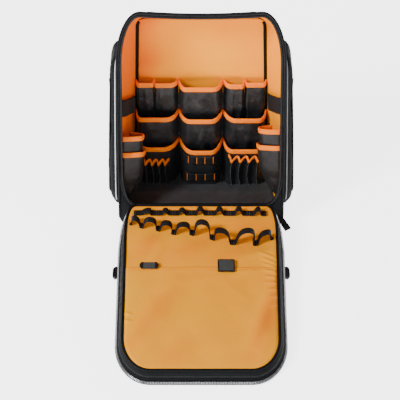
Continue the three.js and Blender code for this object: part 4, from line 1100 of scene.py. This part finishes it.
def build_back_panel():
    """The padded back, with one upright sewn channel and three across"""
    flat = back_outline(0)
    zs, xs = edge_table(flat)
    levels = np.linspace(BODY_LOW + 0.5, zs.max() - 0.5, 110)
    across = np.linspace(-1, 1, 100)
    rows = []
    for z in levels:
        x = across * np.interp(z, zs, xs)
        rows.append(np.stack([x, np.full(100, back_y(z)), np.full(100, z)], axis=1))
    P = np.array(rows)
    X, Z = P[..., 0], P[..., 2]
    rim = np.minimum(1, np.minimum((1 - np.abs(across))[None, :] / 0.07,
                                   np.minimum((Z - BODY_LOW) / 14, (zs.max() - Z) / 14)))
    rim = np.sqrt(np.clip(rim, 0, 1))
    channels = 1 - 0.75 * np.exp(-(X / 9) ** 2)
    for z0 in (120, 215, 310):
        channels = channels - 0.55 * np.exp(-((Z - z0) / 6) ** 2) * (np.abs(X) > 14)
    depth = 1.5 + rim * (3.5 + 6.0 * np.clip(channels, 0, 1)) + 0.3 * ripple(P, 40, 61)
    P[..., 1] += depth
    grid("back_padding", P, MESH_PAD, ("back_panel",), turn=True)
    edge = np.stack([flat[:, 0] * 0.985, back_y(flat[:, 1]) + 5.6, flat[:, 1] - 1.5], axis=1)
    sweep("back_edge_tape", edge[STEPS["foot"]:-STEPS["foot"]], band_section(13, 3.0), PIPING,
          up=(0.0, 0.45, 0.0))


def build_straps():
    """Shoulder straps, each a pad above and webbing below: share of their height, behind, and across"""
    strap = ((1, -5.8, 52), (1, 12, 52), (0.985, 29, 55), (0.9, 38, 62), (0.75, 41, 72), (0.6, 37, 84),
             (0.47, 27, 97))
    lower = ((0.46, 25, 98), (0.36, 17, 108), (0.25, 7, 119), (0.16, 0.3, 126))
    for word, side in (("left", -1), ("right", 1)):
        def line(rows, half, count):
            columns = columns_of(rows, count)
            if count > 12:
                columns = [smoothed(v, (1, 2, 3, 2, 1)) for v in columns]
            up, behind, over = columns
            z = up * STRAP_LEVEL
            return np.stack([side * over, back_y(z) + BACK_PAD + half + behind, z], axis=1)
        path = line(strap, 6, 60)
        sec = []
        for a in np.linspace(0, 2 * math.pi, 28, endpoint=False):
            c, s = math.cos(a), math.sin(a)
            sec.append((32.5 * math.copysign(abs(c) ** 0.35, c), 5.8 * math.copysign(abs(s) ** 0.55, s)))
        along = unit(np.gradient(path, axis=0))
        across_dir = unit(np.array([1.0, 0, 0]) - along * along[:, :1])
        up = np.cross(along, across_dir)
        up *= np.sign(up[30, 1])
        piece = sweep(f"shoulder_pad_{word}", path, sec, MESH_PAD,
                      (f"shoulder_strap_{word}",), up=up)
        cover = path[6:] + up[6:] * 6.3
        sweep(f"shoulder_web_{word}", cover, band_section(25, 1.6), WEB, up=up[6:])
        for end, way in (("a", -1), ("b", 1)):
            line_at = cover + across_dir[6:] * 10 * way + up[6:] * 0.8
            stitches(f"shoulder_stitch_{word}_{end}", line_at, up[6:], BLACK_THREAD)
        for end, way in (("a", -1), ("b", 1)):
            sweep(f"shoulder_binding_{word}_{end}", path + across_dir * 32.3 * way,
                  round_section(2.2, 8, 1.6), PIPING, up=up)
        tail = line(lower, 1, 24)
        sweep(f"strap_tail_{word}", tail, band_section(25, 1.9), WEB, (f"strap_webbing_{word}",),
              up=(0, 1, 0))
        buckle = line(((0.475, 30, 96.5), (0.44, 22, 100)), 1, 8)
        sweep(f"strap_adjuster_{word}", buckle, band_section(33, 4.5), BUCKLE, up=(0, 1, 0.2))


def build_handle():
    """The haul handle, as places across, behind the back and down from the straps' level"""
    handle = ((-15, 1, 26), (-15, 10, 26), (-13, 25, 18), (-6, 33, 15), (6, 33, 15), (13, 25, 18),
              (15, 10, 26), (15, 1, 26))
    over, behind, drop = (smoothed(v, (1, 1, 1, 1, 1)) for v in columns_of(handle, 50))
    z = STRAP_LEVEL - drop
    path = np.stack([over, back_y(z) + BACK_PAD + behind, z], axis=1)
    along = unit(np.gradient(path, axis=0))
    wide = unit(np.array([0, 0, 1.0]) - along * along[:, 2:3])
    sweep("haul_handle_web", path, band_section(25, 3.0), WEB_UP, ("haul_handle",),
          up=np.cross(wide, along))
    for end, way in (("a", -1), ("b", 1)):
        patch = np.array([[way * 15, back_y(354) + 10.4, 336 + 4 * k] for k in range(8)])
        sweep(f"handle_patch_{end}", patch, band_section(24, 2.2), WEB, up=(0, 1, 0))


# Flap

def F(x, l, h):
    """A place on the laid flap: across, along from the hinge, height over its face"""
    x, l, h = np.broadcast_arrays(np.asarray(x, dtype=float), l, h)
    c, s = math.cos(FLAP_FALL), math.sin(FLAP_FALL)
    return np.stack([x, HINGE_Y - l * c - h * s, LIP - l * s + h * c], axis=-1)


FLAP_UP = np.array([0, -math.sin(FLAP_FALL), math.cos(FLAP_FALL)])


def flap_outline(inset, closed=False):
    widest = FLAP_HINGE_WIDTH / 2 - inset
    return outline(0, FLAP_LENGTH - inset, widest, FLAP_END_WIDTH / 2 - inset, (52 - inset, 74 - inset),
                   (widest - (HINGE_HALF - inset), HINGE_CURVE), 0, closed)


# Soft folds of the lining: start and end across and along the flap, width and height
FOLDS = (
    (-132, 372, -46, 225, 26, 4.2), (-120, 400, -70, 330, 14, 1.8), (146, 225, 98, 372, 17, 5.2),
    (138, 330, 108, 398, 13, 3.4), (-128, 128, -92, 88, 13, 2.6), (-60, 150, 10, 100, 18, 2.2),
    (20, 165, 90, 128, 16, 2.0), (-90, 250, -30, 196, 22, 1.8), (30, 392, 110, 345, 24, 2.0),
    (-20, 340, 60, 300, 40, 1.6), (-100, 160, -76, 112, 10, 1.8), (88, 150, 138, 128, 9, 2.2),
    (60, 196, 132, 176, 8, 1.2), (-40, 215, 40, 196, 12, 1.0),
)
# Small gathers at the edges: start and end across and along the flap
GATHERS = ((122, 150, 152, 168), (126, 166, 155, 180), (124, 184, 156, 194), (128, 202, 156, 208),
           (130, 220, 156, 224),
           (132, 240, 156, 240), (118, 138, 150, 150), (-134, 300, -150, 296), (-134, 318, -149, 316),
           (132, 262, 155, 256), (134, 284, 154, 276))
# Painted shade and light on the flap lining, redder along folds and yellower where lit: start and end,
# width and how far
PAINTED_LIGHT_STREAKS = (
    (-145, 180, -148, 360, 30, 0.22), (-150, 400, -40, 215, 22, -0.2), (160, 200, 96, 400, 17, -0.34),
    (-130, 140, -88, 80, 17, -0.22), (-70, 160, 20, 96, 20, -0.16), (10, 170, 110, 118, 20, -0.18),
    (-10, 210, 10, 350, 62, 0.12), (-90, 430, 20, 330, 24, -0.1), (40, 60, 150, 60, 40, -0.1),
)


def ridge(x, l, x1, l1, x2, l2, width):
    """How near each place is to a line, from 1 on it to 0 away from it"""
    dx, dl = x2 - x1, l2 - l1
    size = dx * dx + dl * dl
    t = np.clip(((x - x1) * dx + (l - l1) * dl) / size, 0, 1)
    away = np.hypot(x - x1 - t * dx, l - l1 - t * dl)
    return np.exp(-((away / width) ** 2)) * np.sin(np.pi * np.clip(0.12 + 0.76 * t, 0, 1))


def flap_height(x, l):
    h = np.zeros(np.broadcast(x, l).shape)
    for x1, l1, x2, l2, width, high in FOLDS:
        h = h + 1.35 * high * ridge(x, l, x1, l1, x2, l2, width)
    for x1, l1, x2, l2 in GATHERS:
        h = h + 2.8 * ridge(x, l, x1, l1, x2, l2, 3.6)
    return h


def flap_painted_light(x, l):
    # Painted shade and light of the flap lining, with slight random variation
    painted_light = 0.5 + 0.05 * ripple(F(x, l, 0), 110, 131)
    for x1, l1, x2, l2, width, change in PAINTED_LIGHT_STREAKS:
        painted_light = painted_light + change * ridge(x, l, x1, l1, x2, l2, width)
    return painted_light


def flap_sheet(inset, start, end, rows_n, cols_n):
    ls, xs = edge_table(flap_outline(inset))
    keep = np.concatenate([[True], np.diff(ls) > 1e-6])
    keep[-1] = True
    levels = np.linspace(max(start, ls.min()), min(end, ls.max()), rows_n)
    u = np.linspace(-1, 1, cols_n)
    top_l = ls.max()
    X, L = [], []
    for l in levels:
        half = np.interp(l, ls[keep], xs[keep]) if l < top_l - 1e-6 else xs[ls >= top_l - 1e-6].max()
        X.append(u * half)
        L.append(np.full(cols_n, l))
    return np.array(X), np.array(L), u


# The panel's section, over its edge from face to face: inset, and height
PANEL_ROWS = ((60, 0.2), (12, 0.2), (3, 0.1), (0.6, -1.2), (0, -4.2), (0.6, -7.4), (3, -8.8), (12, -9.2),
              (60, -9.2))


def build_flap_panel():
    """The padded panel: its rounded edge and its outer face"""
    rings = []
    for inset, h in PANEL_ROWS:
        loop = flap_outline(inset if inset < 30 else 30, True)
        if inset >= 60:
            centre = np.array([0, FLAP_LENGTH / 2])
            loop = centre + (loop - centre) * 0.05
        rings.append(F(loop[:, 0], loop[:, 1], np.full(len(loop), h)))
    grid("flap_padding", np.array(rings), SHELL, ("flap_panel",), wrap_cols=True)


def build_flap_lining():
    """The lining above the inner pocket, and the pocket itself"""
    X, L, u = flap_sheet(1.0, 0.4, INNER_START + 6, 90, 150)
    H = 1.1 + flap_height(X, L)
    H += 0.35 * ripple(F(X, L, 0), 50, 101)
    H *= np.clip((1 - np.abs(u))[None, :] / 0.03, 0.3, 1)
    grid("flap_lining_cloth", F(X, L, H), FLAP_ORANGE, ("flap_lining",), thick=0.9,
         painted_light=flap_painted_light(X, L))

    X, L, u = flap_sheet(2.0, INNER_START, FLAP_LENGTH - 2, 150, 150)
    body = 3.0 + flap_height(X, L) + 0.5 * ripple(F(X, L, 0), 60, 103) + 0.7 * crinkle(F(X, L, 0), 150, 104)
    lip = np.clip((L - INNER_START) / 10, 0, 1)
    H = 2.1 + (body - 2.1) * np.sqrt(lip)
    H += 0.7 * np.exp(-((L - INNER_START - 3) / 2.4) ** 2)
    H += 1.6 * np.exp(-((X - 2) / 30) ** 2) * np.exp(-((L - INNER_START - 4) / 14) ** 2)
    near_side = np.clip((1 - np.abs(u))[None, :] / 0.03, 0.2, 1)
    near_end = np.clip((FLAP_LENGTH - 1.5 - L) / 8, 0.1, 1)
    H = 1.3 + (H - 1.3) * near_side * near_end
    grid("flap_pocket_cloth", F(X, L, H), FLAP_ORANGE, ("flap_inner_pocket",), thick=0.9,
         painted_light=flap_painted_light(X, L))
    seam_x = np.linspace(-142, 142, 120)
    seam_l = np.full(120, INNER_START + 7.0)
    seam_h = np.interp(seam_x, X[4], H[4]) + 0.5
    stitches("flap_pocket_stitches", F(seam_x, seam_l, seam_h), FLAP_UP, TAPE, pitch=3.6,
             length=2.4, lift=0.1)


def build_gusset():
    """The binding round the lining, then the gusset from it out and down to the zip"""
    loop = flap_outline(-0.6)
    near = np.clip(loop[:, 1] / 60, 0.2, 1)
    path = F(loop[:, 0], loop[:, 1], 0.6 + 1.6 * near)
    sweep("flap_edge_tape", path, band_section(6.4, 4.2), PIPING, up=FLAP_UP)

    along = np.gradient(loop, axis=0)
    out = unit(np.stack([along[:, 1], -along[:, 0]], axis=1))
    out *= np.sign((out * (loop - np.array([0, FLAP_LENGTH / 2]))).sum(axis=1).mean())
    at_end = np.clip(out[:, 1], 0, 1) ** 2
    near = np.minimum(1, 0.25 + loop[:, 1] / (HINGE_CURVE * 2))
    width = lerp(SKIRT_SIDE, SKIRT_END, at_end) * near
    drop = SKIRT_DROP * near
    u = np.linspace(0, 1, len(loop))
    ringset = []
    for share, lift in ((0.0, 0.0), (0.12, 0.9), (0.3, 1.2), (0.5, 1.0), (0.75, 0.4), (1.0, 0.0)):
        reach = 0.3 + width * share
        wob = 0.5 * np.sin(u * 60 + share * 3) * math.sin(math.pi * share)
        low = -1.6 - drop * share + lift + wob
        ringset.append(F(loop[:, 0] + out[:, 0] * reach, loop[:, 1] + out[:, 1] * reach, low))
    grid("flap_gusset_cloth", np.array(ringset), SHELL, ("flap_gusset",), thick=2.2)
    face = np.stack([out[:, 0] * 0.75, -out[:, 1] * 0.75, np.full(len(out), 0.75)], axis=1)

    def skirt(share, up):
        reach = 0.3 + width * share
        return F(loop[:, 0] + out[:, 0] * reach, loop[:, 1] + out[:, 1] * reach, -2.2 - drop * share + up)

    zip_path = skirt(1.55, 0)
    zip_path[:, 2] = np.maximum(zip_path[:, 2], 3.5)
    sweep("flap_zip_tape", zip_path, band_section(11.5, 1.4), ZIP_TAPE, ("flap_zip",), up=face)
    seam = skirt(1.12, 0.5)
    sweep("flap_zip_seam", seam, round_section(1.5, 8), PIPING, up=face)
    edge_path = skirt(1.78, 1.3)
    edge_path[:, 2] = np.maximum(edge_path[:, 2], 3.0)
    spots, share = along_path(edge_path, 2.9)
    faces = np.stack([np.interp(share, np.linspace(0, 1, len(face)), face[:, c]) for c in range(3)], axis=1)
    a, s, up = frames_along(spots, faces)
    scatter("flap_zip_teeth", spots, a, s, up, (1.7, 4.4, 2.0), PALE_TEETH)
    mid = 0.3 + width * 0.86
    stitch_path = F(loop[:, 0] + out[:, 0] * mid, loop[:, 1] + out[:, 1] * mid, -1.6 - drop * 0.86 + 1.5)
    stitches("flap_gusset_stitches", stitch_path, face, BLACK_THREAD)


def build_hinge():
    x = np.linspace(-139, 139, 60)
    rows = []
    for y, z in ((front_y(41.3) - 1.3, 41.3), (front_y(45.3) - 1.7, 45.3),
                 (lerp(front_y(41.3), HINGE_Y, 0.45), 48.8), (HINGE_Y + 1.3, 50.5), (HINGE_Y - 1.5, 50.9)):
        rows.append(np.stack([x, np.full(60, y) + 0.3 * np.sin(x / 9), np.full(60, z)], axis=1))
    grid("flap_hinge_cloth", np.array(rows), SHELL, ("flap_hinge",), thick=1.6)


# The outer pocket's section, from the flap down to the floor: how far it draws in, and share of the drop
OUTER_POCKET_ROWS = ((0, 0.0), (-0.2, 0.2), (0, 0.45), (0.8, 0.7), (3, 0.9), (8, 0.99), (16, 1.0),
                     (60, 1.0))


def build_flap_outer_pocket():
    """The flat pocket on the flap's outer face, down to the floor that it lies on"""
    def floor_h(l):
        return (l * math.sin(FLAP_FALL) - LIP) / math.cos(FLAP_FALL)
    rings = []
    for shrink, share in OUTER_POCKET_ROWS:
        s = min(shrink, 16)
        loop = outline(26 + s, FLAP_LENGTH * 0.86 - s, 141 - s, 127 - s, (36, 44), (22, 22), 0, True)
        if shrink >= 60:
            c = loop.mean(axis=0)
            loop = c + (loop - c) * 0.04
        h = lerp(-9.3, floor_h(loop[:, 1]) + 0.2, share)
        P = F(loop[:, 0], loop[:, 1], h)
        P[:, 2] = np.maximum(P[:, 2], 0.05)
        rings.append(P)
    P = np.array(rings)
    grid("flap_outer_pocket_cloth", P, SHELL, ("flap_outer_pocket",), wrap_cols=True)
    sweep("flap_outer_piping", P[1], round_section(1.4, 6), PIPING, up=FLAP_UP, closed=True)


# Each tool loop: its two feet across the flap, its height, its lean, and its feet along the flap
ROW_LOW = ((-141, -92, 8, 7, 22, 22), (-92, -58, 8, 0, 22, 22), (-58, -22, 9, 0, 22, 22),
           (-22, 18, 13, 0, 22, 22), (18, 59, 13, 0, 22, 23), (59, 99, 14, 0, 23, 23),
           (99, 137, 13, 2, 23, 24))
ROW_HIGH = ((-147, -124, 17, -2, 50, 60), (-124, -89, 22, 2, 60, 68), (-89, -57, 22, 3, 68, 79),
            (-57, -19, 24, 2, 79, 80), (-19, 23, 38, 1, 80, 94), (23, 64, 28, -3, 94, 108),
            (64, 111, 36, 8, 108, 110), (111, 146, 22, 4, 110, 92))
# Each row: its loops, its nodes, the flat share at each foot, and the arches' power and spread
LOOP_ROWS = {"low": (ROW_LOW, ("loop_row_low",), 0.34, 0.6, 0.0),
             "high": (ROW_HIGH, ("loop_row_high_left", "loop_row_high_right"), 0.14, 0.62, 0.16)}


def loop_path(rows, base, foot, power, spread):
    line, feet = [], [(rows[0][0], rows[0][4])]
    steps = 22
    for r, (x0, x1, high, lean, l0, l1) in enumerate(rows):
        for i in range(1 if r else 0, steps + 1):
            t = i / steps
            if t <= foot or t >= 1 - foot:
                line.append((lerp(x0, x1, t), lerp(l0, l1, t), base))
                continue
            turn = math.pi * (t - foot) / (1 - 2 * foot)
            middle, half = (x0 + x1) / 2, (x1 - x0) / 2 * (1 - 2 * foot)
            up = math.sin(turn) ** power
            x = middle - half * math.cos(turn) * (1 + spread * math.sin(turn)) + lean * up
            line.append((x, lerp(l0, l1, t), base + high * up))
        feet.append((x1, l1))
    return np.array(line), feet


def build_loops():
    base = GAP + 1.5 + GAP + 0.8 + 0.5
    for name, (rows, nodes, foot, power, spread) in LOOP_ROWS.items():
        line, feet = loop_path(rows, base, foot, power, spread)
        smooth = line.copy()
        for c in range(3):
            smooth[1:-1, c] = np.convolve(line[:, c], [0.25, 0.5, 0.25], "valid")
        path = F(smooth[:, 0], smooth[:, 1], smooth[:, 2])
        wide = F(0, 1, 0) - F(0, 0, 0)
        along = unit(np.gradient(path, axis=0))
        up = unit(np.cross(np.broadcast_to(wide, along.shape), along))
        sweep(f"loops_{name}_web", path, band_section(15.5, 1.7), WEB, nodes, up=up)
        spots = []
        for x, l in feet:
            for dx in (-2.4, 2.4):
                for dl in np.linspace(-6, 6, 8):
                    spots.append(F(x + dx, l + dl, base + 1.0))
        scatter(f"loops_{name}_tacks", np.array(spots), wide, (1, 0, 0), FLAP_UP, (1.5, 1.0, 0.9),
                BLACK_THREAD)


def build_tabs():
    h = 2.1 + 4.0 + 0.9
    # The left tab is a short folded tape with cut corners
    rows = []
    for t in np.linspace(-1, 1, 40):
        half = 8.2 * min(1, 0.32 + (1 - abs(t)) * 3.6)
        x = -104 + t * 18.4
        arch = 1.0 * (1 - t * t)
        rows.append(F(np.full(9, x), 176 - 0.5 + np.linspace(-half, half, 9),
                      h + arch - 0.6 * (np.linspace(-1, 1, 9) ** 2)))
    grid("closure_tab_left_web", np.array(rows), GREY_WEB, ("closure_tab_left",), thick=1.6)
    for k, side in enumerate((-1, 1)):
        rows = []
        for t in np.linspace(0.62, 1.0, 12):
            half = 8.6 * min(1, 0.34 + (1 - t) * 3.4)
            rows.append(F(np.full(9, -104 + side * t * 18.8), 176 - 0.5 + np.linspace(-half, half, 9),
                          h + 0.9 + 0.1 * (1 - t)))
        grid(f"closure_tab_left_end_{'ab'[k]}", np.array(rows), WEB, thick=1.2)
    # The right tab is a wider square of tape with a bound edge
    rows = []
    for t in np.linspace(-1, 1, 30):
        x = 50 + t * 16.0
        lift = 0.5 * math.cos(t * 2.2) + (0.9 * max(0, -t - 0.6))
        rows.append(F(np.full(16, x), 176 + np.linspace(-15.6, 15.6, 16),
                      h + lift + 0.5 * np.linspace(-1, 1, 16) ** 2))
    grid("closure_tab_right_web", np.array(rows), GREY_WEB, ("closure_tab_right",), thick=1.8)
    border = [(34.2, 160.6), (65.8, 160.6), (65.8, 191.4), (34.2, 191.4)]
    path = []
    for (xa, la), (xb, lb) in zip(border, border[1:] + border[:1]):
        for t in np.linspace(0, 1, 8)[:-1]:
            path.append(F(lerp(xa, xb, t), lerp(la, lb, t), h + 1.0))
    sweep("closure_tab_right_edge", np.array(path), round_section(1.3, 6), WEB, up=FLAP_UP,
          closed=True)


def build_compression():
    l = 163
    edge = lerp(FLAP_HINGE_WIDTH, FLAP_END_WIDTH, l / FLAP_LENGTH) / 2
    top = -9 - GAP - 1
    for word, side in (("left", -1), ("right", 1)):
        table = [(edge - 14, top), (edge - 2, top - 3), (edge + 6, top - 11), (edge + 14, top - 17)]
        x, h = columns_of(table, 20)
        path = F(side * x, np.full(20, l), h)
        sweep(f"compression_web_{word}", path, band_section(25, 1.9), WEB,
              (f"compression_strap_{word}",), up=(side * 0.6, 0, 0.8))
        middle_x, middle_h = side * (edge + 20.6), top - 18.8
        turn = np.linspace(0, 2 * math.pi, 48, endpoint=False)
        round_x = np.sign(np.cos(turn)) * np.abs(np.cos(turn)) ** 0.45
        round_l = np.sign(np.sin(turn)) * np.abs(np.sin(turn)) ** 0.45
        taper = 1 - 0.22 * np.clip(round_x, 0, 1)
        ring = F(middle_x + side * 3.6 * round_x, l + 14.0 * round_l * taper, np.full(48, middle_h))
        sweep(f"side_buckle_{word}_ring", ring, round_section(2.3, 10, 1.7), BUCKLE,
              (f"side_buckle_{word}",), up=FLAP_UP, closed=True)
        bar = F(np.full(12, middle_x), l + np.linspace(-13, 13, 12), np.full(12, middle_h + 0.6))
        sweep(f"side_buckle_{word}_bar", bar, round_section(1.9, 8), BUCKLE, up=FLAP_UP)


def build_strap_end():
    """The short free end of a webbing strap, beside the base's right corner"""
    corners = ((163, -90.6, 31), (168, -94, 29.5), (173, -101, 26.5), (178, -109, 22.5), (184, -118, 17.5))
    path = np.stack(columns_of(corners, 16), axis=1)
    sweep("strap_end_tab", path, band_section(15, 2.0), WEB, up=(0.3, -0.5, 0.8))
    sweep("strap_end_fold", path[-5:] + np.array([0, 0, 1.9]), band_section(15, 1.8), WEB,
          up=(0.3, -0.5, 0.8))


build_shell()
build_rim()
build_side_lining()
build_back_lining()
build_corner_seams()
build_backing()
build_floor_mat()
low = build_back_pockets()
build_low_front(low)
build_side_pockets()
build_outer_pockets()
build_boot()
build_back_panel()
build_straps()
build_handle()
build_flap_panel()
build_flap_lining()
build_gusset()
build_hinge()
build_flap_outer_pocket()
build_loops()
build_tabs()
build_compression()
build_strap_end()


# Floor, light and camera

# Each light: its name, place, aim, size and power
LIGHTS = (
    ("key", (-1.75, -1.35, 1.9), (0, -0.1, 0.15), 0.7, 92),
    ("front", (0.15, -2.3, 1.5), (0, -0.1, 0.2), 0.9, 16),
    ("rear", (0.3, 1.9, 1.8), (0, 0, 0.2), 1.2, 26),
)
CAMERA_AIM = Vector((0, -0.0773, 0.055))
CAMERA_LIFT = math.radians(40)
CAMERA_AWAY = 2.2
CAMERA_LENS = 93.06
FLOOR_HALF = 40.0


def build_stage():
    mat, nodes, links, shader = new_material("pale_floor")
    coords = nodes.new("ShaderNodeTexCoord").outputs["Object"]
    links.new(ramp(nodes, links, noise(nodes, links, coords, 2), 0.3, 0.7, (0.9, 0.9, 0.9),
                   (0.93, 0.93, 0.93)), shader.inputs["Base Color"])
    set_input(shader, Roughness=0.9, Specular_IOR_Level=0.1, Emission_Color=(1, 1, 1, 1),
              Emission_Strength=3.4)
    mesh = bpy.data.meshes.new("floor")
    corners = [(a * FLOOR_HALF, b * FLOOR_HALF, 0) for a, b in ((-1, -1), (1, -1), (1, 1), (-1, 1))]
    mesh.from_pydata(corners, [], [(0, 1, 2, 3)])
    mesh.materials.append(mat)
    floor = bpy.data.objects.new("floor", mesh)
    bpy.context.scene.collection.objects.link(floor)

    world = bpy.data.worlds.new("studio")
    world.use_nodes = True
    world.node_tree.nodes["Background"].inputs["Color"].default_value = (1, 1, 1, 1)
    world.node_tree.nodes["Background"].inputs["Strength"].default_value = 0.3
    bpy.context.scene.world = world

    def area(name, place, aim, size, power):
        light = bpy.data.lights.new(name, "AREA")
        light.shape = "DISK"
        light.size = size
        light.energy = power
        lamp = bpy.data.objects.new(name, light)
        lamp.location = place
        lamp.rotation_mode = "QUATERNION"
        lamp.rotation_quaternion = (Vector(aim) - Vector(place)).to_track_quat("-Z", "Y")
        bpy.context.scene.collection.objects.link(lamp)

    for name, place, aim, size, power in LIGHTS:
        area(name, place, aim, size, power)

    camera = bpy.data.cameras.new("camera")
    camera.lens = CAMERA_LENS
    camera.sensor_width = 36
    camera.shift_x = -0.003
    camera.shift_y = 0.01
    camera.clip_start, camera.clip_end = 0.05, 50
    rig = bpy.data.objects.new("camera", camera)
    rig.location = CAMERA_AIM + Vector((0, -math.cos(CAMERA_LIFT), math.sin(CAMERA_LIFT))) * CAMERA_AWAY
    rig.rotation_mode = "QUATERNION"
    rig.rotation_quaternion = (CAMERA_AIM - rig.location).to_track_quat("-Z", "Y")
    bpy.context.scene.collection.objects.link(rig)
    bpy.context.scene.camera = rig


build_stage()
